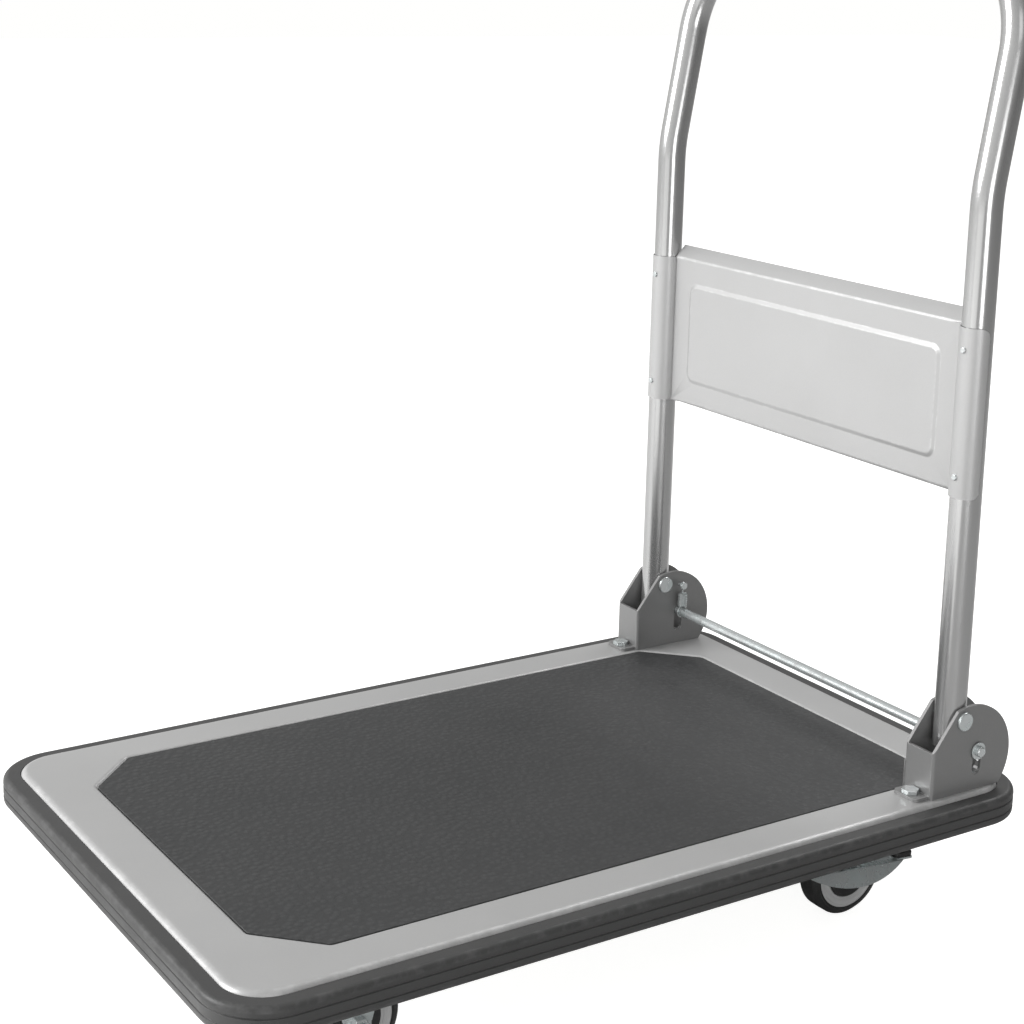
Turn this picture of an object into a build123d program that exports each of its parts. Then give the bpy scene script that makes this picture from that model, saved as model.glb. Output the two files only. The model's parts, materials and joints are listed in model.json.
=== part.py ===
from build123d import *
from math import cos, radians, sin, tan
import os

# Folding platform cart: pressed deck, fold-down push handle, two fixed and two braked swivel casters.
# Millimetres. +Z is up, the floor is z = 0, X runs across the cart and Y along it.
# The handle stands at the +Y end and folds forward over the deck, towards -Y.

# ---- deck ----
deck_width = 452.0          # pressed panel, without the bumper
deck_length = 712.0
deck_corner = 35.0
deck_sheet = 1.6
skirt_depth = 22.0
rim_round = 6.0
mat_side_margin = 41.0      # panel's edge to the mat
mat_end_margin = 45.0
mat_chamfer = 44.0
mat_thickness = 1.8
mat_recess = 2.2            # how far the panel is pressed down under the mat
mat_clearance = 1.0

# ---- bumper ----
bumper_out = 14.0           # how far it stands out from the panel
bumper_height = 24.0
bumper_drop = 3.0           # its top lies this far under the rim
bumper_lip = 4.0            # lip that grips under the skirt
bumper_round = 5.0
groove_width = 1.6
groove_depth = 1.0

# ---- under-deck steel ----
channel_sheet = 2.0
channel_width = 92.0
channel_flange = 12.0
channel_end_gap = 2.0       # between a channel's end and the bumper's lip
rail_spacing = 150.0
rail_width = 36.0
rail_depth = 14.0
rail_sheet = 1.5
rail_flange = 10.0
rail_end_gap = 3.0
deck_to_plate = 24.0        # rim top down to the casters' mounting face

# ---- casters ----
wheel_radius = 37.5
tyre_width = 24.0
tyre_round = 4.0
tyre_wall = 7.0
wheel_gap = 8.5             # tyre to the swivel fork's crown above it
caster_from_side = 76.0     # deck's long edge to the wheels' middle
axle_from_front = 120.0     # deck's front edge to the fixed axles
swivel_from_rear = 98.0     # deck's rear edge to the swivel axes
swivel_offset = 23.0        # axle to swivel axis
plate_x = 92.0
plate_y = 64.0
plate_thickness = 3.0
plate_corner = 6.0
bolt_span_x = 72.0
bolt_span_y = 44.0
fork_inside = 28.0
fork_sheet = 2.5
leg_top_width = 52.0
leg_boss = 11.0             # radius round the axle
swivel_leg_top = 48.0
crown_radius = 27.0
ball_radius = 2.4
ball_gap = 0.2              # ball to upper race
ball_ring = 20.0
ball_count = 14
race_lip = 2.0
race_lip_gap = 1.2
king_pin_radius = 6.0
king_head_radius = 10.0
king_head_thickness = 3.0
running_clearance = 0.06    # radial, for every shaft that turns
face_gap = 0.4              # between faces of bodies that move past each other
hub_radius = 11.0
guard_cover = 0.5           # how far the guard laps over the ring
guard_thickness = 1.2
rim_web = 8.0
rim_ring = 10.0             # radial
bush_wall = 2.0
axle_radius = 4.0
axle_head_width = 13.0      # across flats
axle_head_thickness = 5.0
axle_tail = 0.6

# ---- caster bolts ----
bolt_radius = 3.0
bolt_head_width = 10.0      # across flats
bolt_head_thickness = 4.0
nut_thickness = 5.0
bolt_tail = 0.8

# ---- brake ----
brake_pivot_y = 14.0        # from the axle, towards the pedal
brake_pivot_z = 18.0
brake_pivot_radius = 3.0
brake_pivot_head = 5.0
brake_sheet = 2.0
brake_lug = 8.0
wing_front = 20.5           # wing tips past the tyre
wing_rear = 12.5
skirt_top = 9.0             # wing's top edge above the axle
skirt_drop = 13.0
skirt_out = 6.5             # wing's top edge outside the arm, past the axle's head and nut
skirt_flare = 8.0
bridge_gap = 4.5            # tyre to the bridge behind it
bridge_height = 8.0
pedal_tilt = 5.0            # degrees, pad down, when the brake is off
pad_width = 44.0
pad_length = 22.0
pad_thickness = 5.0

# ---- handle hinge ----
tube_radius = 13.0
tube_wall = 1.5
handle_from_side = 22.5     # deck's long edge to the tube's centre
handle_from_rear = 59.0
pivot_height = 63.0         # above the rim
tube_below_pivot = 25.5
bracket_sheet = 3.0
bracket_side_gap = 0.5      # tube to cheek
bracket_front = 32.0        # pivot axis to the web's outer face
web_height = 40.0
cheek_radius = 46.0
cheek_centre_y = 9.0        # behind the pivot axis
cheek_centre_z = 29.0       # above the rim
foot_length = 15.0
foot_inset = 5.0
bracket_bolt_radius = 4.0
bracket_head_radius = 6.5
bracket_head_thickness = 3.6
bracket_nut_thickness = 5.0
pin_radius = 5.0
pin_head_radius = 8.0
pin_head_thickness = 2.6

# ---- release bar ----
bar_radius = 4.5
bar_gap = 0.3               # bar to the back of the tube, and bar to slot
bar_height = 34.0           # above the rim, at rest
bar_travel = 16.0
bar_overhang = 5.5          # past the outer cheeks
clip_radius = 7.5
clip_thickness = 1.2
clip_gap = 0.6
spring_radius = 4.2         # to the middle of the wire
spring_wire = 0.7
spring_turns = 9
spring_off = 1.2            # coil to the cheek
post_radius = 2.2
post_above_bar = 27.0
post_head = 3.6

# ---- handle ----
bend_height = 495.0         # above the rim, where the lean starts
lean = 10.0                 # degrees
lean_radius = 170.0
handle_top = 707.0          # above the rim, outside of the top bar
corner_radius = 92.0
panel_low = 250.0           # above the rim
panel_high = 390.0
panel_sheet = 1.2
panel_tube_gap = 0.1
panel_top_band = 11.0       # the sloped strip along the top edge
panel_top_slope = 40.0      # degrees
panel_hem = 7.0             # bottom edge turned back
emboss_depth = 1.6
emboss_margin_x = 24.0
emboss_low = 22.0
emboss_high = 22.0
emboss_corner = 9.0
rivet_radius = 2.6
rivet_head = 1.4
rivet_inset = 18.0          # from the sleeve's ends

os.makedirs("parts", exist_ok=True)


def save(part: Part, label: str):
    """Label a finished piece and write its STEP file."""
    part.label = label
    export_step(part, f"parts/{label}.step")


# ---- places that several pieces share ----
fork_width = fork_inside + 2 * fork_sheet
crown_bottom = 2 * wheel_radius + wheel_gap
crown_top = crown_bottom + fork_sheet
plate_bottom = crown_top + 2 * ball_radius + ball_gap
plate_top = plate_bottom + plate_thickness
deck_height = plate_top + deck_to_plate     # top of the rim above the floor
half_caster = deck_width / 2 - caster_from_side
half_handle = deck_width / 2 - handle_from_side
front_axle_y = axle_from_front - deck_length / 2
swivel_y = deck_length / 2 - swivel_from_rear
rear_axle_y = swivel_y - swivel_offset
handle_y = deck_length / 2 - handle_from_rear
mat_width = deck_width - 2 * mat_side_margin
mat_length = deck_length - 2 * mat_end_margin
tyre_bore = wheel_radius - tyre_wall
guard_radius = tyre_bore - rim_ring + guard_cover
skirt_front = wheel_radius + wing_front
skirt_rear = wheel_radius + wing_rear
bridge_y = wheel_radius + bridge_gap
skirt_bottom = deck_height - skirt_depth
recess_under = deck_height - mat_recess - deck_sheet
rim_under = deck_height - deck_sheet
bumper_top = deck_height - bumper_drop
bumper_bottom = bumper_top - bumper_height
pivot_z = deck_height + pivot_height
bar_y = handle_y + tube_radius + bar_gap + bar_radius
bar_z = deck_height + bar_height
bracket_inside = 2 * (tube_radius + bracket_side_gap)
bracket_width = bracket_inside + 2 * bracket_sheet
sides = {"right": 1, "left": -1}


def octagon(width: float, length: float, cut: float):
    """Points of a rectangle with its four corners cut off."""
    x, y = width / 2, length / 2
    return [(x - cut, -y), (x, cut - y), (x, y - cut), (x - cut, y),
            (cut - x, y), (-x, y - cut), (-x, cut - y), (cut - x, -y)]


# ================= deck =================
with BuildPart() as deck_panel:
    with BuildSketch(Plane.XY.offset(skirt_bottom)):
        RectangleRounded(deck_width, deck_length, deck_corner)
    extrude(amount=skirt_depth)
    fillet(deck_panel.faces().sort_by(Axis.Z)[-1].edges(), rim_round)
    with BuildSketch(Plane.XY.offset(deck_height)):
        Polygon(*octagon(mat_width + 2 * mat_clearance, mat_length + 2 * mat_clearance,
                         mat_chamfer), align=None)
    extrude(amount=-mat_recess, mode=Mode.SUBTRACT)
    offset(amount=-deck_sheet, openings=deck_panel.faces().sort_by(Axis.Z)[0], kind=Kind.INTERSECTION)
    # holes for the bolts that hold the two hinge brackets
    bracket_bolt_places = [
        (side * half_handle, y)
        for side in sides.values()
        for y in (handle_y - bracket_front - foot_length / 2,
                  handle_y + cheek_centre_y + cheek_radius / 2 - foot_inset)
    ]
    with BuildSketch(Plane.XY.offset(deck_height)):
        with Locations(*bracket_bolt_places):
            Circle(bracket_bolt_radius)
    extrude(amount=-mat_recess - deck_sheet, mode=Mode.SUBTRACT)
save(deck_panel.part, "deck_panel")

with BuildPart() as deck_mat:
    with BuildSketch(Plane.XY.offset(deck_height - mat_recess)):
        Polygon(*octagon(mat_width, mat_length, mat_chamfer), align=None)
    extrude(amount=mat_thickness)
    chamfer(deck_mat.faces().sort_by(Axis.Z)[-1].edges(), 0.6)
save(deck_mat.part, "deck_mat")

with BuildPart() as edge_bumper:
    bumper_width = deck_width + 2 * bumper_out
    bumper_length = deck_length + 2 * bumper_out
    bumper_corner = deck_corner + bumper_out
    with BuildSketch(Plane.XY.offset(bumper_bottom)):
        RectangleRounded(bumper_width, bumper_length, bumper_corner)
    extrude(amount=bumper_height)
    fillet(edge_bumper.faces().sort_by(Axis.Z)[-1].edges(), bumper_round)
    fillet(edge_bumper.faces().sort_by(Axis.Z)[0].edges(), bumper_round)
    with BuildSketch(Plane.XY.offset(skirt_bottom)):
        RectangleRounded(deck_width, deck_length, deck_corner)
    extrude(amount=skirt_depth, mode=Mode.SUBTRACT)
    with BuildSketch(Plane.XY.offset(bumper_bottom)):
        RectangleRounded(deck_width - 2 * bumper_lip, deck_length - 2 * bumper_lip,
                         deck_corner - bumper_lip)
    extrude(amount=bumper_height, mode=Mode.SUBTRACT)
    # two shallow grooves run round the outside
    for level in (1 / 3, 2 / 3):
        groove_z = bumper_bottom + bumper_height * level - groove_width / 2
        with BuildSketch(Plane.XY.offset(groove_z)):
            RectangleRounded(bumper_width + 2, bumper_length + 2, bumper_corner + 1)
            RectangleRounded(bumper_width - 2 * groove_depth, bumper_length - 2 * groove_depth,
                             bumper_corner - groove_depth, mode=Mode.SUBTRACT)
        extrude(amount=groove_width, mode=Mode.SUBTRACT)
save(edge_bumper.part, "edge_bumper")


def hat_profile(width: float, bottom: float, top: float, sheet: float, flange: float):
    """Corner points of a hat section that opens upwards, its flanges at the top."""
    half = width / 2
    return [(-half, bottom), (half, bottom), (half, top - sheet), (half + flange, top - sheet),
            (half + flange, top), (half - sheet, top), (half - sheet, bottom + sheet),
            (sheet - half, bottom + sheet), (sheet - half, top), (-half - flange, top),
            (-half - flange, top - sheet), (-half, top - sheet)]


channel_length = deck_width - 2 * bumper_lip - 2 * channel_end_gap
caster_bolt_places = [(half_caster * side + x, y)
                      for side in sides.values()
                      for x in (-bolt_span_x / 2, bolt_span_x / 2)
                      for y in (-bolt_span_y / 2, bolt_span_y / 2)]

for label, centre_y in (("front_caster_channel", front_axle_y), ("rear_caster_channel", swivel_y)):
    with BuildPart() as channel:
        with BuildSketch(Plane.YZ.offset(-channel_length / 2)):
            with Locations((centre_y, 0)):
                Polygon(*hat_profile(channel_width, plate_top, recess_under, channel_sheet,
                                     channel_flange), align=None)
        extrude(amount=channel_length)
        with BuildSketch(Plane.XY.offset(plate_top)):
            with Locations((0, centre_y)):
                with Locations(*caster_bolt_places):
                    Circle(bolt_radius)
        extrude(amount=channel_sheet, mode=Mode.SUBTRACT)
    save(channel.part, label)

rail_start = front_axle_y + channel_width / 2 + channel_flange + rail_end_gap
rail_end = swivel_y - channel_width / 2 - channel_flange - rail_end_gap
for side_name, side in sides.items():
    with BuildPart() as rail:
        with BuildSketch(Plane.XZ.offset(-rail_start)):
            with Locations((side * rail_spacing / 2, 0)):
                Polygon(*hat_profile(rail_width, recess_under - rail_depth, recess_under, rail_sheet,
                                     rail_flange), align=None)
        extrude(amount=rail_start - rail_end)
    save(rail.part, f"deck_rail_{side_name}")


# ================= fasteners =================
def hex_bolts(places, head_bottom, head_width, head_thickness, radius, end, nut_top, nut_height):
    """Hexagon bolts hanging down from head_bottom to end, and their nuts, as two parts."""
    with BuildPart() as bolts:
        with BuildSketch(Plane.XY.offset(head_bottom)):
            with Locations(*places):
                RegularPolygon(head_width / 2, 6, major_radius=False)
        extrude(amount=head_thickness)
        with BuildSketch(Plane.XY.offset(head_bottom)):
            with Locations(*places):
                Circle(radius)
        extrude(amount=end - head_bottom)
    with BuildPart() as nuts:
        with BuildSketch(Plane.XY.offset(nut_top)):
            with Locations(*places):
                RegularPolygon(head_width / 2, 6, major_radius=False)
                Circle(radius, mode=Mode.SUBTRACT)
        extrude(amount=-nut_height)
    return bolts.part, nuts.part


all_caster_bolts = [(x, y + centre_y) for centre_y in (front_axle_y, swivel_y)
                    for x, y in caster_bolt_places]
bolts_part, nuts_part = hex_bolts(
    all_caster_bolts, plate_top + channel_sheet, bolt_head_width, bolt_head_thickness, bolt_radius,
    plate_bottom - nut_thickness - bolt_tail, plate_bottom, nut_thickness)
save(bolts_part, "caster_bolts")
save(nuts_part, "caster_nuts")


# ================= casters =================
def caster_plate(x: float, y: float, hole: float):
    """Draw a caster's mounting plate with its four bolt holes and a middle hole."""
    with Locations((x, y)):
        RectangleRounded(plate_x, plate_y, plate_corner)
        with GridLocations(bolt_span_x, bolt_span_y, 2, 2):
            Circle(bolt_radius, mode=Mode.SUBTRACT)
        if hole:
            Circle(hole, mode=Mode.SUBTRACT)


def leg_outline(axle_y: float, top_y: float, top_z: float, top_width: float):
    """Draw one fork leg: wide at the top, round at the axle."""
    Polygon((top_y - top_width / 2, top_z), (top_y + top_width / 2, top_z),
            (axle_y + leg_boss, wheel_radius), (axle_y - leg_boss, wheel_radius), align=None)
    with Locations((axle_y, wheel_radius)):
        Circle(leg_boss)
        Circle(axle_radius, mode=Mode.SUBTRACT)


for side_name, side in sides.items():
    caster_x = side * half_caster
    leg_faces = (caster_x - fork_width / 2, caster_x + fork_inside / 2)

    # fixed caster at the open end
    with BuildPart() as fixed_fork:
        with BuildSketch(Plane.XY.offset(plate_bottom)):
            caster_plate(caster_x, front_axle_y, 0)
        extrude(amount=plate_thickness)
        for leg_x in leg_faces:
            with BuildSketch(Plane.YZ.offset(leg_x)):
                leg_outline(front_axle_y, front_axle_y, plate_bottom, leg_top_width)
            extrude(amount=fork_sheet)
    save(fixed_fork.part, f"fixed_fork_{side_name}")

    # swivel caster at the handle end
    with BuildPart() as swivel_plate:
        with BuildSketch(Plane.XY.offset(plate_bottom)):
            caster_plate(caster_x, swivel_y, king_pin_radius)
        extrude(amount=plate_thickness)
        with BuildSketch(Plane.XY.offset(plate_bottom)):
            with Locations((caster_x, swivel_y)):
                Circle(crown_radius)
                Circle(crown_radius - race_lip, mode=Mode.SUBTRACT)
        extrude(amount=crown_top - plate_bottom + race_lip_gap)
    save(swivel_plate.part, f"swivel_plate_{side_name}")

    with BuildPart() as swivel_fork:
        with BuildSketch(Plane.XY.offset(crown_bottom)):
            with Locations((caster_x, swivel_y)):
                Circle(crown_radius)
                Circle(king_pin_radius + running_clearance, mode=Mode.SUBTRACT)
        extrude(amount=fork_sheet)
        for leg_x in leg_faces:
            with BuildSketch(Plane.YZ.offset(leg_x)):
                leg_outline(rear_axle_y, swivel_y, crown_bottom, swivel_leg_top)
                with Locations((rear_axle_y + brake_pivot_y, wheel_radius + brake_pivot_z)):
                    Circle(brake_pivot_radius, mode=Mode.SUBTRACT)
            extrude(amount=fork_sheet)
    save(swivel_fork.part, f"swivel_fork_{side_name}")

    with BuildPart() as swivel_balls:
        with Locations((caster_x, swivel_y, crown_top + ball_radius)):
            with PolarLocations(ball_ring, ball_count):
                Sphere(ball_radius)
    save(swivel_balls.part, f"swivel_balls_{side_name}")

    # wheels, the same at both ends
    for end_name, axle_y in (("front", front_axle_y), ("rear", rear_axle_y)):
        wheel_plane = Plane(origin=(caster_x, axle_y, wheel_radius), x_dir=(0, 1, 0), z_dir=(1, 0, 0))
        bush_radius = axle_radius + running_clearance + bush_wall
        name = f"{end_name}_{side_name}"
        with BuildPart() as tyre:
            with BuildSketch(wheel_plane.offset(-tyre_width / 2)):
                Circle(wheel_radius)
                Circle(tyre_bore, mode=Mode.SUBTRACT)
            extrude(amount=tyre_width)
            rim_edges = tyre.edges().filter_by(GeomType.CIRCLE).sort_by(SortBy.RADIUS)[-2:]
            fillet(rim_edges, tyre_round)
        save(tyre.part, f"tyre_{name}")

        with BuildPart() as wheel_hub:
            with BuildSketch(wheel_plane.offset(1 - tyre_width / 2)):
                Circle(tyre_bore)
                Circle(tyre_bore - rim_ring, mode=Mode.SUBTRACT)
            extrude(amount=tyre_width - 2)
            with BuildSketch(wheel_plane.offset(-rim_web / 2)):
                Circle(tyre_bore - rim_ring / 2)
            extrude(amount=rim_web)
            with BuildSketch(wheel_plane.offset(1 - tyre_width / 2)):
                Circle(hub_radius)
            extrude(amount=tyre_width - 2)
            with BuildSketch(wheel_plane.offset(-tyre_width / 2)):
                Circle(bush_radius)
            extrude(amount=tyre_width, mode=Mode.SUBTRACT)
        save(wheel_hub.part, f"wheel_hub_{name}")

        with BuildPart() as wheel_guards:
            for hand in (1, -1):
                with BuildSketch(wheel_plane.offset(hand * (tyre_width / 2 - 1))):
                    Circle(guard_radius)
                    Circle(bush_radius, mode=Mode.SUBTRACT)
                extrude(amount=hand * guard_thickness)
        save(wheel_guards.part, f"wheel_guards_{name}")

        with BuildPart() as wheel_bush:
            with BuildSketch(wheel_plane.offset(face_gap - fork_inside / 2)):
                Circle(bush_radius)
                Circle(axle_radius + running_clearance, mode=Mode.SUBTRACT)
            extrude(amount=fork_inside - 2 * face_gap)
        save(wheel_bush.part, f"wheel_bush_{name}")

with BuildPart() as king_pins:
    with BuildSketch(Plane.XY.offset(plate_top)):
        with Locations((-half_caster, swivel_y), (half_caster, swivel_y)):
            Circle(king_pin_radius)
    extrude(amount=crown_bottom - face_gap - plate_top)
    with BuildSketch(Plane.XY.offset(crown_bottom - face_gap)):
        with Locations((-half_caster, swivel_y), (half_caster, swivel_y)):
            Circle(king_head_radius)
    extrude(amount=-king_head_thickness)
    fillet(king_pins.faces().group_by(Axis.Z)[0].edges(), 1.0)
save(king_pins.part, "king_pins")


def axle_parts(axle_sides, axle_y: float):
    """Axle bolts and nuts through the forks on the given sides, heads inward, as two parts."""
    axle_end = fork_width / 2 + axle_head_thickness + axle_tail
    with BuildPart() as bolts:
        for side in axle_sides:
            centre = (side * half_caster, axle_y, wheel_radius)
            axle_plane = Plane(origin=centre, x_dir=(0, 1, 0), z_dir=(side, 0, 0))
            with BuildSketch(axle_plane.offset(-fork_width / 2)):
                RegularPolygon(axle_head_width / 2, 6, major_radius=False)
            extrude(amount=-axle_head_thickness)
            with BuildSketch(axle_plane.offset(-fork_width / 2)):
                Circle(axle_radius)
            extrude(amount=fork_width / 2 + axle_end)
    with BuildPart() as nuts:
        for side in axle_sides:
            centre = (side * half_caster, axle_y, wheel_radius)
            axle_plane = Plane(origin=centre, x_dir=(0, 1, 0), z_dir=(side, 0, 0))
            with BuildSketch(axle_plane.offset(fork_width / 2)):
                RegularPolygon(axle_head_width / 2, 6, major_radius=False)
                Circle(axle_radius, mode=Mode.SUBTRACT)
            extrude(amount=axle_head_thickness)
    return bolts.part, nuts.part


axle_sets = (("front", (1, -1), front_axle_y), ("rear_right", (1,), rear_axle_y),
             ("rear_left", (-1,), rear_axle_y))
for name, axle_sides, axle_y in axle_sets:
    bolts_part, nuts_part = axle_parts(axle_sides, axle_y)
    save(bolts_part, f"axle_bolts_{name}")
    save(nuts_part, f"axle_nuts_{name}")


# ================= brakes =================
def wing_outline(axle_y: float):
    """Draw the crescent side of the pedal: straight on top, bowed below, pointed at both ends."""
    front = (axle_y - skirt_front, wheel_radius + skirt_top)
    rear = (axle_y + skirt_rear, wheel_radius + skirt_top)
    low = (axle_y, wheel_radius + skirt_top - skirt_drop)
    with BuildLine() as edge:
        Line(rear, front)
        ThreePointArc(front, low, rear)
    make_face(edge.edges())


for side_name, side in sides.items():
    caster_x = side * half_caster
    arm_inner = fork_width / 2 + face_gap
    pivot = (rear_axle_y + brake_pivot_y, wheel_radius + brake_pivot_z)
    wing_top = wheel_radius + skirt_top
    bridge_low = wing_top - bridge_height
    bridge_back = rear_axle_y + bridge_y + brake_sheet
    with BuildPart() as brake_pedal:
        for hand in (1, -1):
            # flared wing: a sloped sheet trimmed to the crescent
            arm_x = caster_x + hand * arm_inner
            top_x = arm_x + hand * skirt_out
            low_x = top_x + hand * skirt_flare
            thick = hand * brake_sheet
            with BuildSketch(Plane.XZ.offset(-rear_axle_y - skirt_rear), mode=Mode.PRIVATE) as slope:
                Polygon((top_x, wing_top), (top_x + thick, wing_top),
                        (low_x + thick, wing_top - skirt_drop), (low_x, wing_top - skirt_drop),
                        align=None)
            with BuildSketch(Plane.YZ.offset(caster_x), mode=Mode.PRIVATE) as crescent:
                wing_outline(rear_axle_y)
            sheet = extrude(slope.sketch, amount=skirt_front + skirt_rear, mode=Mode.PRIVATE)
            trim = extrude(crescent.sketch, amount=hand * 2 * fork_width, mode=Mode.PRIVATE)
            add(sheet & trim)
            # upright arm from the pivot down to the wing and back to the bridge
            with BuildSketch(Plane.YZ.offset(arm_x)):
                Polygon((pivot[0], bridge_low), (pivot[0] - brake_lug, pivot[1]),
                        (pivot[0], pivot[1] + brake_lug), (bridge_back, wing_top),
                        (bridge_back, bridge_low), align=None)
                with Locations(pivot):
                    Circle(brake_lug)
                    Circle(brake_pivot_radius + running_clearance, mode=Mode.SUBTRACT)
            extrude(amount=thick)
            # ledge from the arm out to the wing
            with BuildSketch(Plane.XY.offset(wing_top - brake_sheet)):
                with Locations(((arm_x + top_x + thick) / 2, (pivot[0] - brake_lug + bridge_back) / 2)):
                    Rectangle(skirt_out + brake_sheet, bridge_back - pivot[0] + brake_lug)
            extrude(amount=brake_sheet)
        # bridge behind the tyre, and the foot plate under the pad
        with BuildSketch(Plane.XZ.offset(-rear_axle_y - bridge_y)):
            with Locations((caster_x, wing_top - bridge_height / 2)):
                Rectangle(2 * arm_inner, bridge_height)
        extrude(amount=-brake_sheet)
        with BuildSketch(Plane.XY.offset(wing_top - brake_sheet)):
            with Locations((caster_x, bridge_back - brake_sheet + pad_length / 2)):
                RectangleRounded(pad_width, pad_length, brake_sheet)
        extrude(amount=brake_sheet)
    pedal_hinge = Axis((caster_x, *pivot), (1, 0, 0))
    save(brake_pedal.part.rotate(pedal_hinge, -pedal_tilt), f"brake_pedal_{side_name}")

    with BuildPart() as brake_pad:
        with BuildSketch(Plane.XY.offset(wing_top)):
            with Locations((caster_x, bridge_back + pad_length / 2)):
                RectangleRounded(pad_width - brake_sheet, pad_length - brake_sheet, 4)
        extrude(amount=pad_thickness)
        fillet(brake_pad.faces().sort_by(Axis.Z)[-1].edges(), 2)
    save(brake_pad.part.rotate(pedal_hinge, -pedal_tilt), f"brake_pad_{side_name}")

    with BuildPart() as brake_rivets:
        for hand in (1, -1):
            rivet_plane = Plane(origin=(caster_x, *pivot), x_dir=(0, 1, 0), z_dir=(hand, 0, 0))
            with BuildSketch(rivet_plane.offset(fork_inside / 2)):
                Circle(brake_pivot_radius)
            extrude(amount=fork_sheet + 2 * face_gap + brake_sheet)
            with BuildSketch(rivet_plane.offset(fork_width / 2 + 2 * face_gap + brake_sheet)):
                Circle(brake_pivot_head)
            extrude(amount=brake_sheet)
    save(brake_rivets.part, f"brake_rivets_{side_name}")


# ================= handle hinges =================
def cheek_outline():
    """Draw a hinge cheek: round at the back and top, flat below, cut back above the web."""
    front = handle_y - bracket_front
    with Locations((handle_y + cheek_centre_y, deck_height + cheek_centre_z)):
        Circle(cheek_radius)
    top_z = deck_height + cheek_centre_z + cheek_radius * sin(radians(110))
    top_y = handle_y + cheek_centre_y + cheek_radius * cos(radians(110))
    Polygon((front, deck_height), (front, deck_height + web_height), (top_y, top_z),
            (handle_y + cheek_centre_y, deck_height + cheek_centre_z), (handle_y, deck_height),
            align=None)
    # flat foot on the deck
    with Locations((handle_y, deck_height - cheek_radius)):
        Rectangle(4 * cheek_radius, 2 * cheek_radius, mode=Mode.SUBTRACT)
    # nothing ahead of the web and the sloped edge
    Polygon((front, deck_height), (front, deck_height + web_height), (top_y, top_z),
            (top_y - cheek_radius, top_z), (top_y - cheek_radius, deck_height), align=None,
            mode=Mode.SUBTRACT)


bracket_rear = handle_y + cheek_centre_y + (cheek_radius ** 2 - cheek_centre_z ** 2) ** 0.5
for side_name, side in sides.items():
    bracket_x = side * half_handle
    with BuildPart() as hinge_bracket:
        for cheek_x in (bracket_x - bracket_width / 2, bracket_x + bracket_inside / 2):
            with BuildSketch(Plane.YZ.offset(cheek_x)):
                cheek_outline()
                with Locations((handle_y, pivot_z)):
                    Circle(pin_radius, mode=Mode.SUBTRACT)
                with Locations((bar_y, bar_z - bar_travel / 2)):
                    SlotCenterToCenter(bar_travel, 2 * (bar_radius + bar_gap), rotation=90,
                                       mode=Mode.SUBTRACT)
            extrude(amount=bracket_sheet)
        # web across the front
        with BuildSketch(Plane.XY.offset(deck_height)):
            with Locations((bracket_x, handle_y - bracket_front + bracket_sheet / 2)):
                Rectangle(bracket_width, bracket_sheet)
        extrude(amount=web_height)
        # floor between the cheeks, and the foot in front of the web
        floor_front = handle_y - bracket_front - foot_length
        with BuildSketch(Plane.XY.offset(deck_height)):
            with Locations((bracket_x, (floor_front + bracket_rear) / 2)):
                Rectangle(bracket_inside, bracket_rear - floor_front)
            with Locations(*bracket_bolt_places):
                Circle(bracket_bolt_radius, mode=Mode.SUBTRACT)
        extrude(amount=bracket_sheet)
        foot_corners = hinge_bracket.edges().filter_by(Axis.Z).group_by(Axis.Y)[0]
        fillet(foot_corners, foot_inset)
        web_edges = hinge_bracket.edges().filter_by(Axis.Z).filter_by(
            lambda edge: abs(edge.center().Y - (handle_y - bracket_front)) < 0.01
            and abs(abs(edge.center().X - bracket_x) - bracket_width / 2) < 0.01)
        fillet(web_edges, bracket_sheet)
    save(hinge_bracket.part, f"hinge_bracket_{side_name}")

bolts_part, nuts_part = hex_bolts(
    bracket_bolt_places, deck_height + bracket_sheet, 2 * bracket_head_radius,
    bracket_head_thickness, bracket_bolt_radius, rim_under - bracket_nut_thickness - bolt_tail,
    rim_under, bracket_nut_thickness)
save(bolts_part, "bracket_bolts")
save(nuts_part, "bracket_nuts")

with BuildPart() as pivot_pins:
    for side in sides.values():
        pin_plane = Plane(origin=(side * half_handle, handle_y, pivot_z), x_dir=(0, 1, 0),
                          z_dir=(side, 0, 0))
        with BuildSketch(pin_plane.offset(-bracket_width / 2)):
            Circle(pin_radius)
        extrude(amount=bracket_width)
        for hand in (1, -1):
            with BuildSketch(pin_plane.offset(hand * bracket_width / 2)):
                Circle(pin_head_radius)
            extrude(amount=hand * pin_head_thickness)
    fillet(pivot_pins.edges().filter_by(GeomType.CIRCLE).group_by(SortBy.RADIUS)[-1]
           .filter_by(lambda edge: abs(abs(edge.center().X) - half_handle)
                      > (bracket_width + pin_head_thickness) / 2), 1.2)
save(pivot_pins.part, "pivot_pins")

# ================= release bar =================
bar_end = half_handle + bracket_width / 2 + bar_overhang
with BuildPart() as release_bar:
    with BuildSketch(Plane.YZ.offset(-bar_end)):
        with Locations((bar_y, bar_z)):
            Circle(bar_radius)
    extrude(amount=2 * bar_end)
    chamfer(release_bar.edges().filter_by(GeomType.CIRCLE), 0.8)
save(release_bar.part, "release_bar")

with BuildPart() as bar_clips:
    for side in sides.values():
        clip_x = side * (half_handle + bracket_width / 2 + clip_gap)
        with BuildSketch(Plane.YZ.offset(clip_x)):
            with Locations((bar_y, bar_z)):
                Circle(clip_radius)
                Circle(bar_radius, mode=Mode.SUBTRACT)
        extrude(amount=side * clip_thickness)
save(bar_clips.part, "bar_clips")

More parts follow.
